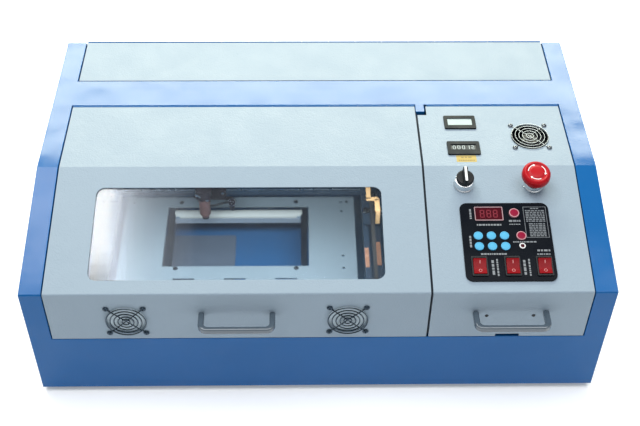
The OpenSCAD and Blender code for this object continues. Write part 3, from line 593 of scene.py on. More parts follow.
def build_case():
    shell = ("front_panel", "top_frame", "left_side_panel", "right_side_panel")
    make_piece("case_shell", welded_mesh(shell), BLUE, "chassis", 0.0007, 3, replaced=shell)
    softened("rear_panel", BLUE, 0.0004)
    # The electronics wall, seen through the lid gaps, is painted dark as shade.
    softened("electronics_wall", PAINTED_GAP_SHADE, 0.0002)
    # The tube bay wall is the case blue with painted shade added.
    softened("tube_bay_wall", WALL_BLUE_SHADED, 0.0004)
    for node in ("front_lid", "control_lid", "rear_lid"):
        softened(node, LID, 0.0005, 3)
    softened("base_pan", PAN_BLUE, 0.0004)
    softened("rubber_feet", RUBBER, 0.0015, 3)


def build_handles():
    for node in ("lid_handle", "control_handle"):
        softened(node, HANDLE, 0.0022, 4)


VENT_LOW, VENT_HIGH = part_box("lid_vent_guards")
VENT_REACH = 0.0293  # from the middle of a vent guard to its edge
VENT_Z = (VENT_LOW.z + VENT_HIGH.z) / 2
VENTS = [on_front(x, VENT_Z) for x in (VENT_LOW.x + VENT_REACH, VENT_HIGH.x - VENT_REACH)]


def build_guard(name, node, frames, body, material, wire):
    """Chrome finger guards: rings on two crossed wires that end in screw loops."""
    bm, screws = bmesh.new(), bmesh.new()
    pitch, rings, loop = 0.05, 5, 0.0034
    run = pitch / math.sqrt(2) - loop
    points = [(-run, 0, wire), (-run + 0.004, 0, 1.3 * wire), (run - 0.004, 0, 1.3 * wire), (run, 0, wire)]
    for m in frames:
        for k in range(1, rings + 1):
            add_ring(bm, k * (pitch / 2 + 0.002) / rings, wire, m @ move(0, 0, 3 * wire))
        for a in (45, 135):
            turn = m @ spin(a, "Z")
            add_wire(bm, [turn @ Vector(p) for p in points], wire)
        for i, j in CORNERS:
            corner = m @ move(i * pitch / 2, j * pitch / 2, 0)
            add_ring(bm, loop, wire, corner @ move(0, 0, wire), 32)
            add_screw(screws, corner, 0.0036, 0.003)
    make_piece(name, bm, material, body, replaced=(node,))
    make_piece(name + "_screws", screws, material, body, 0.0002)


# ---- Hinges and fasteners


def build_hinges():
    for node in ("hinge_frame_leaves", "front_lid_leaf", "rear_lid_leaf", "control_lid_leaf"):
        softened(node, BLUE, 0.00012, 1)
    softened("hinge_pins", STEEL, 0.0002)
    rivets = bmesh.new()
    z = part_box("rear_panel")[1].z - 0.0075
    low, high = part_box("rear_lid")
    for x in spaced(low.x, high.x, 0.03, 8):
        add_screw(rivets, on_back(x, z, 0.0008), 0.0028, 0.0012)
    make_piece("rear_hinge_rivets", rivets, STEEL, "chassis", 0.0001)


def build_case_screws():
    """Screws low down on the side panels and the rear."""
    bm = bmesh.new()
    low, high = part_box("left_side_panel")[0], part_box("right_side_panel")[1]
    for side, x in ((-1, low.x), (1, high.x)):
        turn = spin(side * 90, "Y")
        for y in (FRONT_Y + 0.03, 0.0, BACK_Y - 0.03):
            add_screw(bm, move(x - side * 0.0004, y, FLOOR_Z + 0.012) @ turn, 0.0032, 0.0004)
    for x in (low.x + 0.015, -0.03, 0.1, high.x - 0.015):
        add_screw(bm, on_back(x, FLOOR_Z + 0.012), 0.0032, 0.0022)
    make_piece("case_screws", bm, STEEL, "chassis", 0.0001)


# ---- Panel instruments


def build_instrument(node, window, shift, face):
    """A bezel with a sunk window, and its body behind the lid."""
    low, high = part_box(node)
    w, l = high.x - low.x, high.y - low.y
    m = on_top(node)
    bm = bmesh.new()
    add_frame(bm, (w, l, 0.002), (*window, 0.0006), shift, 0, 0.0025, m)
    add_frame(bm, (w - 0.0064, l - 0.0064, 0.001), (*window, 0.0006), shift, 0.0002, -0.006, m)
    add_box(bm, (-w / 2 + 0.0032, -l / 2 + 0.0032, -0.024), (w / 2 - 0.0032, l / 2 - 0.0032, -0.006), m)
    make_piece(node + "_bezel", bm, BEZEL, BODY_OF[node], 0.0004, 3, replaced=(node,))
    pane = bmesh.new()
    add_prism(pane, rounded_outline(window[0] + 0.001, window[1] + 0.001, 0.0006), 0.0002, 0.0012,
              m @ move(0, shift, 0))
    make_piece(node + "_window", pane, face, BODY_OF[node], 0.0001)


def build_instruments():
    build_instrument("temperature_display", (0.0365, 0.0155), 0.0007, PALE_WINDOW)
    build_instrument("hour_counter", (0.037, 0.0115), 0.0016, COUNTER_FACE)
    m = on_top("hour_counter")
    wheels, digits = bmesh.new(), bmesh.new()
    for k, digit in enumerate("00012"):
        x = (k - 2) * 0.0068
        add_box(wheels, (x - 0.003, -0.0036, 0.0012), (x + 0.003, 0.0066, 0.00135), m)
        add_digits(digits, digit, x, 0.0015, 0.0078, 0, m, 0.00135)
    make_piece("hour_counter_wheels", wheels, COUNTER_WHEEL, "control_cover")
    make_piece("hour_counter_digits", digits, DIGIT, "control_cover")
    label, marks = bmesh.new(), bmesh.new()
    place = move(0.215, -0.035, TOP_Z)
    add_prism(label, rounded_outline(0.029, 0.014, 0.0006), 0, PRINT, place)
    add_print(marks, 0, 0.0028, 0.017, 0.0042, 1, 3, place, PRINT, seed=4)
    add_print(marks, 0, -0.0034, 0.024, 0.003, 1, 8, place, PRINT, seed=5)
    make_piece("counter_label", label, YELLOW, "control_cover")
    make_piece("counter_label_marks", marks, LABEL_INK, "control_cover")


# ---- Switches on the slope


def collar_profile(height):
    """A bezel ring with a flange, a rounded neck and a turned-in lip round its bore."""
    bore, flange, neck = SWITCH_BORE, 0.0146, 0.0134
    return [(bore, -0.0002), (flange - 0.0004, -0.0002), (flange, 0.0004), (flange, 0.0018),
            (flange - 0.0005, 0.0026), (neck + 0.0002, 0.0032), (neck, 0.0042), (neck, height - 0.0016),
            (neck - 0.0005, height - 0.0004), (neck - 0.0014, height), (bore + 0.001, height),
            (bore, height - 0.0006), (bore, -0.0002)]


def build_switches():
    selector, estop = at(206.5, 32.5), at(305, 33)
    for name, m, height in (("selector", selector, 0.013), ("estop", estop, 0.01)):
        bm = bmesh.new()
        add_lathe(bm, collar_profile(height), m, 64)
        add_lathe(bm, pipe(SWITCH_BORE, 0.0108, -0.014, -0.0003), m)
        replaced = ("switch_collars",) if name == "selector" else ()
        make_piece(name + "_collar", bm, COLLAR, "control_cover", replaced=replaced)
        nut = bmesh.new()
        add_lathe(nut, pipe(0.0109, 0.015, -0.0065, -0.0016), m, 6)
        make_piece(name + "_nut", nut, STEEL, "control_cover", 0.0003)
    build_selector(selector)
    build_estop(estop)


def build_selector(m):
    bm = bmesh.new()
    radius, top, grip_top = 0.0125, 0.02, 0.0285
    add_lathe(bm, [(0, -0.012), (0.008, -0.012), (0.008, 0.0134), (radius - 0.0008, 0.0134),
                   (radius, 0.0142), (radius, top - 0.0016), (radius - 0.0006, top - 0.0005),
                   (radius - 0.0018, top), (0, top)], m, 64)
    foot, crest = rounded_outline(0.0076, 0.0262, 0.0034), rounded_outline(0.0066, 0.025, 0.0031)
    add_loft(bm, foot, top - 0.001, crest, grip_top, m)
    make_piece("selector_knob_body", bm, BLACK, "selector", 0.0006, 3, 40,
               ("selector_knob",))
    stripe = bmesh.new()
    add_prism(stripe, rounded_outline(0.0034, 0.0244, 0.0012), grip_top - 0.0002, grip_top + 0.0001, m)
    make_piece("selector_stripe", stripe, WHITE, "selector", 0.0001)


def build_estop(m):
    stem = bmesh.new()
    add_lathe(stem, [(0.0041, 0.0078), (0.0041, 0.0183), (0.0078, 0.0183), (0.008, 0.018), (0.008, -0.012),
                     (0, -0.012), (0, 0.0076), (0.0041, 0.0078)], m)
    make_piece("estop_stem_body", stem, STEM, "estop_plunger", replaced=("estop_stem",))
    base = 0.0188
    head = bmesh.new()
    profile = [(0, -0.0095), (0.0039, -0.0095), (0.004, 0), (0.015, 0), (0.0178, 0.0004), (0.0194, 0.0014),
               (0.02, 0.0032), (0.02, 0.008), (0.0196, 0.0104), (0.0186, 0.0122), (0.017, 0.0136),
               (0.0156, 0.0143), (0.0148, 0.0142), (0.0142, 0.0135), (0.0134, 0.0132), (0.0104, 0.0134),
               (0.0094, 0.0141), (0.0082, 0.0144), (0, 0.0145)]
    add_lathe(head, [(r, base + z) for r, z in profile], m, 72)
    make_piece("estop_head_body", head, RED, "estop_mushroom", angle=50,
               replaced=("estop_head",))
    arrows = bmesh.new()
    top = base + 0.0131
    for start in (110, 230, 350):
        add_arc(arrows, 0.0115, 0.0126, start, start + 62, top, top + 0.0005, m)
        tip, side = math.radians(start - 14), math.radians(start)
        outline = [polar(0.012, tip), polar(0.014, side), polar(0.01, side)]
        add_prism(arrows, outline, top, top + 0.0005, m)
    make_piece("estop_arrows", arrows, WHITE, "estop_mushroom")


# ---- Control plate


def build_faceplate():
    softened("control_faceplate", FILM, 0.0004, 3)
    white, grey = bmesh.new(), bmesh.new()
    m = at(0, 0, FILM_TOP)
    for i, (x, s, w, l, lines, words, upright) in enumerate((
            (211.4, 83.0, 4.2, 17.0, 1, 4, True), (235.8, 100.6, 35.0, 4.0, 1, 9, False),
            (272.0, 94.4, 17.0, 4.6, 1, 4, False), (271.7, 99.9, 16.0, 2.2, 1, 5, False),
            (282.2, 128.2, 33.0, 3.0, 1, 9, False), (207.9, 127.4, 4.2, 19.0, 1, 4, True),
            (237.9, 147.1, 36.0, 3.8, 1, 10, False), (306.8, 141.8, 19.0, 4.4, 1, 4, False),
            (306.2, 147.6, 19.0, 3.0, 1, 5, False), (235.0, 168.0, 5.0, 24.0, 1, 4, True),
            (241.2, 168.0, 3.6, 27.0, 1, 7, True), (278.0, 168.0, 5.0, 24.0, 1, 4, True),
            (284.6, 168.0, 3.6, 27.0, 1, 7, True))):
        add_print(white, x * MM, -s * MM, w * MM, l * MM, lines, words, m, 0, upright, seed=i)
    box = at(301.4, 96.4, FILM_TOP)
    add_frame(grey, (0.032, 0.05, 0.0005), (0.0306, 0.0486, 0.0004), 0, 0, PRINT, box)
    add_print(grey, 0, 0.0222, 0.012, 0.0026, 1, 3, box, seed=20)
    add_print(grey, 0, 0.01, 0.0275, 0.02, 7, 6, box, seed=21)
    add_print(grey, 0.001, -0.0125, 0.0235, 0.022, 8, 5, box, seed=22)
    make_piece("faceplate_print", white, FACE_PRINT, "control_cover")
    make_piece("faceplate_print_box", grey, GREY_PRINT, "control_cover")


def build_power_display():
    w, l = 0.0396, 0.0223
    m = at(236.8, 83.15, FILM_TOP)
    bm = bmesh.new()
    add_frame(bm, (w, l, 0.0014), (w - 0.0024, l - 0.0024, 0.0008), 0, 0, 0.0016, m)
    add_box(bm, (-0.0173, -0.0088, -0.012), (0.0173, 0.0088, 0.0002), m)
    make_piece("power_display_bezel", bm, DISPLAY_EDGE, "control_cover", 0.0003,
               replaced=("power_display",))
    pane, digits = bmesh.new(), bmesh.new()
    add_prism(pane, rounded_outline(w - 0.0022, l - 0.0022, 0.0008), 0.0002, 0.001, m)
    add_digits(digits, "888", 0, 0, 0.0125, 0.0092, m, 0.001)
    make_piece("power_display_window", pane, DISPLAY, "control_cover", 0.0001)
    make_piece("power_display_digits", digits, UNLIT, "control_cover")
    lamp = at(278.4, 134.8, FILM_TOP)
    ring, lens = bmesh.new(), bmesh.new()
    add_lathe(ring, [(0.0028, 0), (0.0043, 0), (0.0043, 0.001), (0.0039, 0.0015), (0.0031, 0.0015),
                     (0.0028, 0.001), (0.0028, 0)], lamp, 40)
    add_lathe(lens, [(0.0028, 0.0001), (0.0028, 0.0006), (0.0016, 0.0012), (0, 0.0014)], lamp, 32)
    make_piece("lamp_ring", ring, WHITE, "control_cover")
    make_piece("lamp_lens", lens, DISPLAY, "control_cover")


def build_button(name, node, x, s, radius, rise, cap, rim):
    """A round key with a raised rim in another shade."""
    m = at(x, s, FILM_TOP)
    body, slot = BODY_OF[node], SLOT_OF[node]
    bm = bmesh.new()
    inner = radius * 0.8
    add_lathe(bm, [(0, -0.0038), (radius + 0.0012, -0.0038), (radius + 0.0012, -0.0023), (radius, -0.0023),
                   (radius, rise - 0.0003), (radius - 0.0004, rise), (inner + 0.0002, rise),
                   (inner, rise - 0.0004), (0, rise - 0.0004)], m, 56)
    make_piece(name + "_rim", bm, rim, body, replaced=(node,))
    dome = bmesh.new()
    add_lathe(dome, [(inner, rise - 0.0004), (inner - 0.0002, rise - 0.0001), (inner * 0.6, rise + 0.0001),
                     (0, rise + 0.0002)], m)
    make_piece(name + "_cap", dome, cap, body)


def build_buttons():
    build_button("laser_switch", "laser_switch_button", 272.1, 82.7, 0.00705, 0.003, KEY_RED, PINK)
    build_button("test_key", "test_button", 278.5, 118.7, 0.0068, 0.0016, KEY_RED, PINK)
    for n in range(1, 7):
        node = "regulator_button_%d" % n
        low, high = local_box(node, SLOPE)
        x, s = (low.x + high.x) / 2 / MM, -(low.y + high.y) / 2 / MM
        build_button("regulator_key_%d" % n, node, x, s, 0.0063, 0.0016, BUTTON_BLUE, BUTTON_RIM)


def build_rockers():
    softened("rocker_frames", BLACK, 0.0004)
    for n, x in enumerate((216.9, 261.7, 305.1), 1):
        softened("rocker_switch_%d" % n, ROCKER_RED, 0.0007, 3)
        m = at(x, 166.4, -3) @ spin(9, "X")
        valley, rise, half, out = 0.0074, 0.0028, 0.011, 0.0062
        tilt = math.degrees(math.atan2(rise, half))
        marks = bmesh.new()
        for side in (-1, 1):
            face = m @ move(0, side * out, valley + out * rise / half) @ spin(side * tilt, "X")
            if side > 0:
                add_box(marks, (-0.0005, -0.0022, -0.0001), (0.0005, 0.0022, 0.00015), face)
            else:
                add_ring(marks, 0.002, 0.00035, face, 32, 6)
        make_piece("rocker_marks_%d" % n, marks, MARK, "rocker_%d" % n)


# ---- Cooling fan


def build_fan():
    softened("fan_frame", BLACK, 0.0004)
    low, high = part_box("fan_rotor")
    c = centre("fan_rotor")
    m = move(c.x, c.y, low.z)
    depth = high.z - low.z
    bm = bmesh.new()
    add_lathe(bm, [(0.00155, 0), (0.0114, 0), (0.012, 0.0006), (0.012, depth - 0.001), (0.0112, depth),
                   (0, depth), (0, depth - 0.0015), (0.00155, depth - 0.0015), (0.00155, 0)], m, 40)
    blades, out_steps, turn_steps = 7, 5, 6
    root, tip, sweep, thick = 0.0112, 0.0258, 0.62, 0.0009
    for k in range(blades):
        grid = []
        for i in range(out_steps + 1):
            r = root + i * (tip - root) / out_steps
            row = []
            for j in range(turn_steps + 1):
                t = j / turn_steps
                a = 2 * math.pi * k / blades + (t - 0.5) * sweep + 0.16 * (i / out_steps) ** 2
                row.append(Vector((*polar(r, a), 0.001 + (depth - 0.003) * t ** 1.3)))
            grid.append(row)
        over = [[bm.verts.new(m @ (p + Vector((0, 0, thick)))) for p in row] for row in grid]
        under = [[bm.verts.new(m @ p) for p in row] for row in grid]
        for i in range(out_steps):
            for j in range(turn_steps):
                bm.faces.new((over[i][j], over[i + 1][j], over[i + 1][j + 1], over[i][j + 1]))
                bm.faces.new((under[i][j], under[i][j + 1], under[i + 1][j + 1], under[i + 1][j]))
        rim = [(i, 0) for i in range(out_steps)] + [(out_steps, j) for j in range(turn_steps)]
        rim += [(i, turn_steps) for i in range(out_steps, 0, -1)]
        rim += [(0, j) for j in range(turn_steps, 0, -1)]
        bridge(bm, [over[i][j] for i, j in rim], [under[i][j] for i, j in rim])
    make_piece("fan_rotor_blades", bm, BLACK, "rotor", angle=40, replaced=("fan_rotor",))


# ---- Work bay


def build_bed():
    softened("bed_plate", PLATE, 0.0003)
    softened("bed_studs", STEEL, 0.0004)
    softened("clamp_rails", RAIL_GREY, 0.0004)
    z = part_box("bed_plate")[1].z
    bm = bmesh.new()
    for x, y in ((-217.5, 70), (-32.5, 70.5), (-217, -75.5), (-32, -75.7)):
        add_screw(bm, move(x * MM, y * MM, z), 0.0036, 0.0016)
    low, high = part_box("bed_plate")
    for x in spaced(low.x, high.x, 0.012, 2):
        for y in spaced(low.y, high.y, 0.012, 2):
            add_screw(bm, move(x, y, z), 0.0022, 0.0012)
    make_piece("bed_screws", bm, SCREW_DARK, "chassis", 0.0001)
    sheet = bmesh.new()
    add_prism(sheet, rounded_outline(0.15, 0.15, 0.004), 0, 0.0012, move(-0.206, -0.022, FLOOR_Z))
    make_piece("floor_sheet", sheet, FLOOR_SHEET, "chassis", 0.0003)
    strip = bmesh.new()
    add_prism(strip, rounded_outline(0.075, 0.34, 0.004), 0, 0.0012, move(0.0875, -0.03, FLOOR_Z))
    make_piece("floor_strip", strip, BAY_STRIP, "chassis", 0.0003)
    build_jaw()


def build_jaw():
    """The work clamp: a flattened bar behind a thin lip, on a flat base with a shoe at each end."""
    low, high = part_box("clamp_jaw")
    length = high.x - low.x
    r, edge, flat = 0.0084, 0.0007, 0.64
    bar, lip, base = bmesh.new(), bmesh.new(), bmesh.new()
    add_lathe(bar, [(0, 0), (r - edge, 0), (r, edge), (r, length - edge), (r - edge, length), (0, length)],
              move(low.x, high.y - r, high.z - flat * r) @ spin(90, "Y")
              @ Matrix.Diagonal((flat, 1, 1, 1)), 40)
    add_box(lip, (low.x, low.y, low.z), (high.x, low.y + 0.0014, high.z - 0.002))
    # The base and the end shoes are coloured dark: painted shade between the bar and the lip.
    add_box(base, (low.x, low.y + 0.0012, low.z), (high.x, high.y, low.z + 0.0014))
    for x in (low.x, high.x - 0.008):
        add_box(base, (x, low.y + 0.005, low.z + 0.0012), (x + 0.008, high.y - 0.008, high.z - 0.003))
    make_piece("clamp_bar", bar, JAW, "clamp", replaced=("clamp_jaw",))
    make_piece("clamp_lip", lip, JAW_LIP, "clamp", 0.0003)
    make_piece("clamp_base_painted_shade", base, JAW_BASE_SHADE, "clamp", 0.0003)


def add_tooth_pulley(bm, x, y, z):
    """A pulley across the machine with square teeth between two flanges."""
    m = move(x - PULLEY_WIDTH / 2, y, z) @ spin(90, "Y")
    teeth, depth, flange, thick = 20, 0.0006, PULLEY_RADIUS + 0.002, 0.001
    outline = []
    for k, a in enumerate(circle(4 * teeth)):
        outline.append(polar(PULLEY_RADIUS - (depth if k % 4 > 1 else 0), a))
    add_prism(bm, outline, thick, PULLEY_WIDTH - thick, m)
    for z0 in (0, PULLEY_WIDTH - thick):
        add_lathe(bm, [(0, z0), (flange, z0), (flange, z0 + thick), (0, z0 + thick)], m, 40)


def build_y_drive():
    softened("y_rails", RAIL_BLACK, 0.0006)
    softened("y_motor", MOTOR, 0.0008)
    low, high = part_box("y_drive_shaft")
    c = centre("y_drive_shaft")
    turn = spin(90, "Y")
    bm = bmesh.new()
    add_lathe(bm, [(0, low.x), (0.0026, low.x), (0.003, low.x + 0.0004), (0.003, high.x - 0.0004),
                   (0.0026, high.x), (0, high.x)], move(0, c.y, c.z) @ turn, 32)
    for x in RAILS_X:
        add_tooth_pulley(bm, x, c.y, c.z)
    make_piece("y_drive_shaft_body", bm, STEEL, "drive_shaft", replaced=("y_drive_shaft",))
    belts, idlers, brackets = bmesh.new(), bmesh.new(), bmesh.new()
    front = FRONT_Y + 0.014
    for x in RAILS_X:
        for z in (c.z - 0.007, c.z + 0.007):
            add_box(belts, (x - 0.0022, front, z - 0.0006), (x + 0.0022, c.y, z + 0.0006))
        add_tooth_pulley(idlers, x, front, c.z)
        add_lathe(idlers, [(0, -0.01), (0.0022, -0.01), (0.0022, 0.01), (0, 0.01)],
                  move(x, front, c.z) @ turn, 24)
        for side in (-1, 1):
            mid, half = x + side * 0.0085, 0.0012
            add_box(brackets, (mid - half, front - 0.008, RAIL_TOP_Z - 0.001),
                    (mid + half, front + 0.008, c.z + 0.006))
    make_piece("y_belts", belts, BELT, "chassis", 0.0002)
    make_piece("y_idlers", idlers, STEEL, "chassis", 0.0001)
    make_piece("y_idler_brackets", brackets, ALUMINIUM, "chassis", 0.0003)
    caps = bmesh.new()
    add_motor_caps(caps, move(0.1, c.y, c.z) @ turn, 0.038)
    make_piece("y_motor_caps", caps, ALUMINIUM, "chassis", 0.0005)
    # Two amber strips on top of the right rail: painted warm highlights.
    glint_strips = bmesh.new()
    for x, y0, y1 in ((0.0755, -0.104, -0.064), (0.0935, -0.1, -0.052)):
        add_box(glint_strips, (x - 0.0032, y0, RAIL_TOP_Z - 0.0004), (x + 0.0032, y1, RAIL_TOP_Z + 0.0003))
    make_piece("rail_painted_glints", glint_strips, RAIL_GLINT, "chassis", 0.0001)


def add_motor_caps(bm, m, length):
    """End caps and corner screws of a stepper motor whose face is at z = 0."""
    side, flat, thick, proud = 0.0212, 0.016, 0.008, 0.0002
    for z0, z1 in ((-proud, thick), (length - thick, length + proud)):
        outline = []
        for sx, sy in ((1, 1), (-1, 1), (-1, -1), (1, -1)):
            a, b = (side, flat) if sx * sy > 0 else (flat, side)
            outline += [(sx * a, sy * b), (sx * b, sy * a)]
        add_prism(bm, outline, z0, z1, m)
    for sx, sy in CORNERS:
        add_screw(bm, m @ move(sx * 0.0155, sy * 0.0155, length + proud), 0.0026, 0.0012)


def build_gantry():
    softened("gantry_beam", RAIL_BLACK, 0.0005)
    softened("x_motor", MOTOR, 0.0008)
    low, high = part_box("gantry_beam")
    c = centre("gantry_beam")
    caps, nuts, belt = bmesh.new(), bmesh.new(), bmesh.new()
    face = move(-0.301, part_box("x_motor")[0].y + 0.002, 0.129) @ spin(-90, "X")
    add_motor_caps(caps, face, 0.026)
    make_piece("x_motor_caps", caps, ALUMINIUM, "gantry", 0.0005)
    plate = low.z + 0.0115
    for x in RAILS_X:
        for dy in (-0.017, 0.017):
            at_nut = move(x, c.y + dy, plate)
            add_lathe(nuts, [(0, 0), (0.0062, 0), (0.0062, 0.0008), (0.004, 0.0008), (0.004, 0.004),
                             (0, 0.004)], at_nut, 6)
            add_ring(nuts, 0.0066, 0.0005, at_nut @ move(0, 0, 0.0006), 32, 6)
    make_piece("gantry_nuts", nuts, STEEL, "gantry", 0.0001)
    y = c.y + 0.004
    add_box(belt, (low.x + 0.012, y - 0.003, high.z + 0.0008), (high.x - 0.012, y + 0.003, high.z + 0.0018))
    make_piece("x_belt", belt, BELT, "gantry", 0.0001)
    build_gantry_bracket()
    rod = bmesh.new()
    y = low.y + 0.0148
    for z in (0.1165, 0.1215):
        add_wire(rod, [(low.x + 0.032, y, z), (high.x - 0.026, y, z)], 0.0012, 8)
    make_piece("gantry_rods", rod, STEEL, "gantry")


def build_gantry_bracket():
    """A plate in front of the right end of the beam, with two rollers and the head's flat ribbon."""
    z = 0.1086
    plate, rollers, rings, ribbon = bmesh.new(), bmesh.new(), bmesh.new(), bmesh.new()
    add_prism(plate, rounded_outline(0.027, 0.058, 0.004), z, z + 0.002, move(0.0855, 0.009, 0))
    for x, y in ((0.0775, 0.009), (0.0945, 0.005)):
        m = move(x, y, z + 0.002)
        add_lathe(rollers, [(0, 0), (0.0052, 0), (0.0052, 0.003), (0.0046, 0.0036), (0.0024, 0.0036),
                            (0.002, 0.0024), (0, 0.0024)], m, 32)
        add_ring(rings, 0.0056, 0.0005, m @ move(0, 0, 0.0028), 36, 6)
    path = [(0.081, 0.0386), (0.0805, 0.013), (0.093, 0.009), (0.094, -0.015)]
    top, half = 0.1365, 0.0033
    for (x0, y0), (x1, y1) in zip(path, path[1:]):
        add_box(ribbon, (min(x0, x1) - half, min(y0, y1) - half, top),
                (max(x0, x1) + half, max(y0, y1), top + 0.0005))
    add_box(ribbon, (0.0907, -0.0188, z + 0.002), (0.0973, -0.0183, top + 0.0005))
    make_piece("gantry_bracket", plate, RAIL_BLACK, "gantry", 0.0004)
    make_piece("gantry_rollers", rollers, BLACK, "gantry")
    make_piece("gantry_roller_rings", rings, STEEL, "gantry")
    make_piece("flat_ribbon", ribbon, AMBER, "gantry", 0.0001)


def build_head():
    softened("laser_head", HEAD_BLACK, 0.0006)
    low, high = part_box("laser_head")
    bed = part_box("bed_plate")[0].z
    x, y = low.x + 0.014, 0.022
    m = move(x, y, 0)
    build_lens(m, bed)
    build_mirror_mount(m, high.z)
    build_air_assist(x, y)
    screws = bmesh.new()
    face = low.y + 0.0361
    for dx in (-0.009, 0.027):
        for z in (low.z + 0.03, high.z - 0.006):
            add_screw(screws, move(x + dx, face, z) @ spin(90, "X"), 0.0028, 0.0018)
    make_piece("head_screws", screws, STEEL, "head", 0.0001)


def build_lens(m, bed):
    """A ribbed lens tube with a conical nozzle."""
    lens = bmesh.new()
    r, rib, groove = 0.0088, 0.003, 0.0006
    z, top = bed + 0.026, bed + 0.056
    profile = [(0, z)]
    while z < top:
        profile += [(r, z), (r, z + 0.6 * rib), (r - groove, z + 0.7 * rib), (r - groove, z + 0.9 * rib)]
        z += rib
    profile += [(r, z), (r, z + 0.003), (0, z + 0.003)]
    add_lathe(lens, profile, m, 48)
    tip = bed + 0.014
    add_lathe(lens, [(0.0012, tip), (0.003, tip), (0.0062, tip + 0.006), (0.0062, tip + 0.0125),
                     (0.0012, tip + 0.0125), (0.0012, tip)], m, 40)
    make_piece("lens_tube", lens, LENS_BROWN, "head")


def build_mirror_mount(m, top):
    """A tilted mirror holder with three adjusting knobs, and its aluminium bracket."""
    mirror, bracket = bmesh.new(), bmesh.new()
    turn = m @ move(-0.002, -0.002, top - 0.0125) @ spin(-45, "Y")
    add_lathe(mirror, [(0, -0.004), (0.0102, -0.004), (0.0108, -0.003), (0.0108, 0.003), (0.0102, 0.004),
                       (0.008, 0.004), (0.0074, 0.0034), (0, 0.0034)], turn)
    for k in range(3):
        a = math.radians(90 + 120 * k)
        knob = turn @ move(*polar(0.0088, a), 0.004)
        add_lathe(mirror, [(0, 0), (0.0018, 0), (0.0018, 0.003), (0.0026, 0.003), (0.0026, 0.005),
                           (0, 0.0054)], knob, 20)
    make_piece("mirror_mount", mirror, HEAD_BLACK, "head")
    slope = m @ move(-0.0022, -0.011, top - 0.0105) @ spin(35, "Y")
    add_box(bracket, (-0.012, -0.0012, -0.0016), (0.012, 0.0012, 0.0016), slope)
    make_piece("mirror_bracket", bracket, ALUMINIUM, "head", 0.0004)


def build_air_assist(x, y):
    """A round air fitting on an arm, with a short hose to the lens tube."""
    fitting, trim, hose = bmesh.new(), bmesh.new(), bmesh.new()
    place = move(x + 0.0415, 0.036, 0.106)
    front = place @ spin(60, "X")
    add_lathe(fitting, [(0, -0.004), (0.0058, -0.004), (0.0062, -0.003), (0.0062, 0.003), (0.0054, 0.004),
                        (0.004, 0.004), (0.0036, 0.0026), (0, 0.0026)], front, 40)
    add_lathe(fitting, [(0, -0.0165), (0.003, -0.0165), (0.0042, -0.012), (0.0042, -0.003), (0, -0.003)],
              place, 32)
    add_box(fitting, (x + 0.03, 0.042, 0.104), (x + 0.043, 0.0455, 0.108))
    add_ring(trim, 0.0058, 0.0006, front @ move(0, 0, 0.0032), 36, 8)
    for k in range(3):
        a = math.radians(20 + 120 * k)
        spot = front @ move(*polar(0.0024, a), 0.0026)
        add_screw(trim, spot, 0.0013, 0.0012)
    path = smooth_path([(x + 0.008, y - 0.001, 0.112), (x + 0.015, y - 0.001, 0.1125),
                        (x + 0.026, y + 0.005, 0.111), (x + 0.037, y + 0.013, 0.107)])
    add_wire(hose, path, 0.0018, 12)
    make_piece("air_fitting", fitting, HEAD_BLACK, "head")
    make_piece("air_fitting_trim", trim, STEEL, "head")
    make_piece("air_hose", hose, BLACK, "head")


# ---- Tube bay, electronics and rear


def build_tube():
    c = centre("laser_tube")
    low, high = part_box("laser_tube")
    m = move(0, c.y, c.z) @ spin(90, "Y")
    end = 0.35
    glass_wall, jacket, bore = bmesh.new(), bmesh.new(), bmesh.new()
    add_lathe(glass_wall, [(0.0249, -end + 0.004), (0.0249, end - 0.004), (0.0232, end), (0.01, end),
                           (0.01, end - 0.0015), (0.0225, end - 0.0015), (0.0235, end - 0.005),
                           (0.0235, -end + 0.005), (0.0225, -end + 0.0015), (0.01, -end + 0.0015),
                           (0.01, -end), (0.0232, -end), (0.0249, -end + 0.004)], m, 56)
    make_piece("tube_envelope", glass_wall, TUBE_GLASS, "chassis", replaced=("laser_tube",))
    add_lathe(jacket, [(0.011, -0.29), (0.0125, -0.288), (0.0125, 0.288), (0.011, 0.29), (0.0098, 0.288),
                       (0.0098, -0.288), (0.011, -0.29)], m, 40)
    make_piece("tube_water_jacket", jacket, TUBE_GLASS, "chassis")
    add_lathe(bore, pipe(0.004, 0.0052, -0.3, 0.3), m, 32)
    turns, steps, pitch, radius, start = 8, 12, 0.016, 0.017, -0.27
    coil = []
    for k in range(turns * steps + 1):
        y, z = polar(radius, 2 * math.pi * k / steps)
        coil.append((start + pitch * k / steps, c.y + y, c.z + z))
    add_wire(bore, coil, 0.0014, 8)
    make_piece("tube_bore", bore, TUBE_GLASS, "chassis")
    metal_ends = bmesh.new()
    for side, x in ((-1, -0.318), (1, 0.318)):
        add_lathe(metal_ends, pipe(0.0135, 0.0145, x - 0.014, x + 0.014), m, 40)
        a, b = (low.x, low.x + 0.015) if side < 0 else (high.x - 0.015, high.x)
        add_lathe(metal_ends, [(0, a), (0.0112, a), (0.0119, a + 0.001), (0.0119, b - 0.001), (0.0112, b),
                               (0, b)], m, 40)
    make_piece("tube_electrodes", metal_ends, BRASS, "chassis")
    softened("tube_clamps", RAIL_GREY, 0.0006)


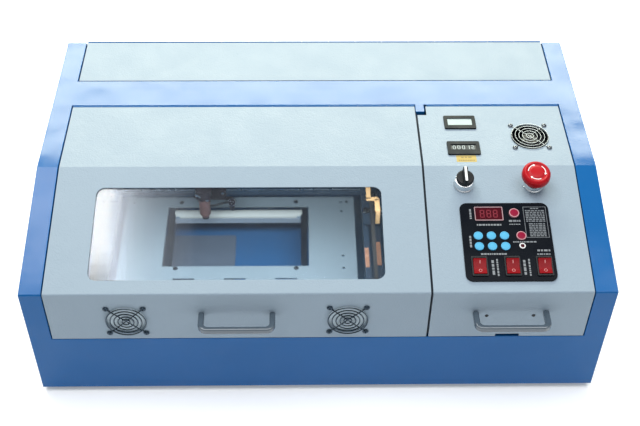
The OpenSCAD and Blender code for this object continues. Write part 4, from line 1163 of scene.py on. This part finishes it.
def build_electronics():
    softened("laser_power_supply", ZINC, 0.0005)
    softened("controller_board", BOARD, 0.0003, 1)
    low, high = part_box("laser_power_supply")
    terminals, screws = bmesh.new(), bmesh.new()
    count, pitch = 6, 0.011
    for k in range(count):
        y = low.y + 0.03 + pitch * k
        add_box(terminals, (low.x - 0.001, y - 0.005, high.z - 0.03),
                (low.x - 0.0001, y + 0.005, high.z - 0.016))
        add_screw(screws, move(low.x - 0.001, y, high.z - 0.023) @ spin(-90, "Y"), 0.0026, 0.0008)
    make_piece("supply_terminals", terminals, BOARD, "chassis", 0.0002)
    make_piece("supply_screws", screws, STEEL, "chassis", 0.0001)
    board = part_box("controller_board")
    chips, cans = bmesh.new(), bmesh.new()
    face = board[0].x + 0.0066
    rng = random.Random(7)
    for k in range(9):
        y, z = rng.uniform(board[0].y + 0.012, board[1].y - 0.02), board[0].z + 0.008 + 0.008 * k
        add_box(chips, (face, y - 0.004, z - 0.002), (face + 0.0018, y + 0.004, z + 0.002))
    for k in range(3):
        place = move(face, board[1].y - 0.012, board[0].z + 0.012 + 0.014 * k) @ spin(90, "Y")
        add_lathe(cans, [(0, 0), (0.004, 0), (0.004, 0.0085), (0.0034, 0.009), (0, 0.009)], place, 24)
    make_piece("board_chips", chips, BLACK, "chassis", 0.0002)
    make_piece("board_capacitors", cans, ALUMINIUM, "chassis", 0.0002)


def build_rear():
    softened("exhaust_outlet", INNER, 0.0007, 3)
    softened("rear_fittings", BLACK, 0.0006)
    pins, slots, bezels, washers = bmesh.new(), bmesh.new(), bmesh.new(), bmesh.new()
    z, floor, mouth = 0.08, 0.003, 0.02
    for x, w, l in ((0.3, 0.026, 0.02), (0.23, 0.022, 0.022), (0.18, 0.022, 0.022)):
        rim = on_back(x, z, mouth)
        add_frame(bezels, (w + 0.007, l + 0.007, 0.0015), (w, l, 0.0004), 0, 0.0001, 0.0008, rim)
        for dx, dz in ((0, 0.0045), (-0.006, -0.003), (0.006, -0.003)):
            m = on_back(x + dx, z + dz, floor)
            if w > l:
                add_prism(pins, rounded_outline(0.0018, 0.0045, 0.0005), 0, 0.0125, m)
            else:
                add_frame(slots, (0.0042, 0.0074, 0.001), (0.0022, 0.005, 0.0005), 0, 0.0001, 0.0011, m)
    for x in (-0.26, -0.3):
        add_lathe(washers, pipe(0.0041, 0.0105, 0.0002, 0.0014), on_back(x, 0.07), 40)
    make_piece("socket_pins", pins, BRASS, "chassis", 0.0002)
    make_piece("socket_contacts", slots, BRASS, "chassis", 0.0001)
    make_piece("socket_bezels", bezels, BEZEL, "chassis", 0.0002)
    make_piece("fitting_washers", washers, STEEL, "chassis", 0.0001)


def build_lid_details():
    softened("lid_window", ACRYLIC, 0.0002, 1)
    low, high = local_box("lid_window", SLOPE)
    plugs, studs = bmesh.new(), bmesh.new()
    for x in (0.2283, 0.2925):
        add_lathe(plugs, [(0, 0.0002), (0.001, 0.0002), (0.0016, 0.0006), (0.0022, 0.0006), (0.0026, 0),
                          (0, -0.0002)], on_front(x, 0.1652), 24)
    make_piece("control_lid_rivets", plugs, BLACK, "control_cover")
    for x in spaced(low.x, high.x, 0.02, 6):
        for y in (low.y + 0.004, high.y - 0.004):
            add_lathe(studs, [(0, -0.0062), (0.003, -0.0062), (0.0034, -0.0056), (0.0034, -0.0041),
                              (0, -0.004)], SLOPE @ move(x, y, 0), 20)
    make_piece("window_studs", studs, STEEL, "front_cover")
    baffles = bmesh.new()
    for m in VENTS:
        add_prism(baffles, rounded_outline(0.066, 0.066, 0.004), -0.0042, -0.0032, m)
    make_piece("vent_baffles", baffles, BAFFLE, "front_cover", 0.0002)


dress_cad()
build_case()
build_case_screws()
build_hinges()
build_handles()
# The vent guard wires take the darkened chrome: their dark colour is a painted reflection.
build_guard("lid_vent_guard_wires", "lid_vent_guards", VENTS, "front_cover", DARK_CHROME, 0.00085)
build_guard("fan_guard_wires", "fan_guard", [on_top("fan_guard")], "control_cover", CHROME, 0.0006)
build_lid_details()
build_instruments()
build_switches()
build_faceplate()
build_power_display()
build_buttons()
build_rockers()
build_fan()
build_bed()
build_y_drive()
build_gantry()
build_head()
build_tube()
build_electronics()
build_rear()


# ---- Floor, lights and camera


def build_stage():
    bm = bmesh.new()
    add_box(bm, (-6, -5, -0.02), (6, 7, 0))
    floor = new_object("floor", mesh_of("floor", bm))
    white = Surface("floor_white", (0.96, 0.96, 0.96), 0.9, Emission_Color=(1, 1, 1, 1),
                    Emission_Strength=0.22)
    floor.data.materials.append(white.material)


def add_light(name, place, aim, size, power, colour=(1, 1, 1)):
    data = bpy.data.lights.new(name, "AREA")
    data.shape = "RECTANGLE"
    data.size, data.size_y = size
    data.energy = power
    data.color = colour
    light = new_object(name, data)
    light.location = place
    light.rotation_euler = (Vector(aim) - Vector(place)).to_track_quat("-Z", "Y").to_euler()
    return light


def build_lights():
    add_light("back_panel", (0, 2.0, 1.68), (0, 0, 0.25), (2.4, 0.6), 85, (0.97, 0.98, 0.8))
    add_light("overhead", (0.1, -0.45, 2.6), (0.1, -0.45, 0), (3.2, 1.6), 63)
    soft_x, soft_y, soft_z, radiance = -1.02, 0.76, 2.6, 43.0
    add_light("left_softbox", (soft_x, soft_y, soft_z), (soft_x, soft_y, 0), (0.6, 0.5),
              radiance * 0.6 * 0.5)
    step = 0.04
    for k, share in enumerate((0.75, 0.55, 0.4, 0.28, 0.18)):
        y = soft_y - 0.27 - step * k
        power = radiance * 0.6 * step * share
        add_light("softbox_front_%d" % k, (soft_x, y, soft_z), (soft_x, y, 0), (0.6, step), power)
    step, length = 0.03, 0.68
    for k, share in enumerate((0.7, 0.45, 0.3, 0.22, 0.16, 0.12, 0.09, 0.07, 0.05, 0.03)):
        x, y = soft_x + 0.315 + step * k, soft_y - 0.09
        power = radiance * step * length * share
        add_light("softbox_side_%d" % k, (x, y, soft_z), (x, y, 0), (step, length), power,
                  (0.88, 0.92, 1.0))
    bay = add_light("bay_fill", (-0.11, -0.08, 0.232), (-0.11, -0.05, 0), (0.42, 0.05), 1.5)
    bay.visible_camera = bay.visible_glossy = bay.visible_transmission = False
    world = bpy.data.worlds.new("studio")
    bpy.context.scene.world = world
    world.use_nodes = True
    sky = world.node_tree.nodes["Background"].inputs
    sky["Color"].default_value = (0.8, 0.9, 1.0, 1.0)
    sky["Strength"].default_value = 0.38


def build_camera():
    data = bpy.data.cameras.new("camera")
    data.lens = 60.77
    data.sensor_width = 36.0
    camera = new_object("camera", data)
    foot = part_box("base_pan")[0].z
    camera.location = (-0.02542, -1.19666, 1.28737 + foot)
    camera.rotation_euler = [math.radians(a) for a in (45.388, -0.5656, -0.9202)]
    bpy.context.scene.camera = camera


build_stage()
build_lights()
build_camera()
bpy.context.scene.view_settings.view_transform = "Standard"
bpy.context.view_layer.update()
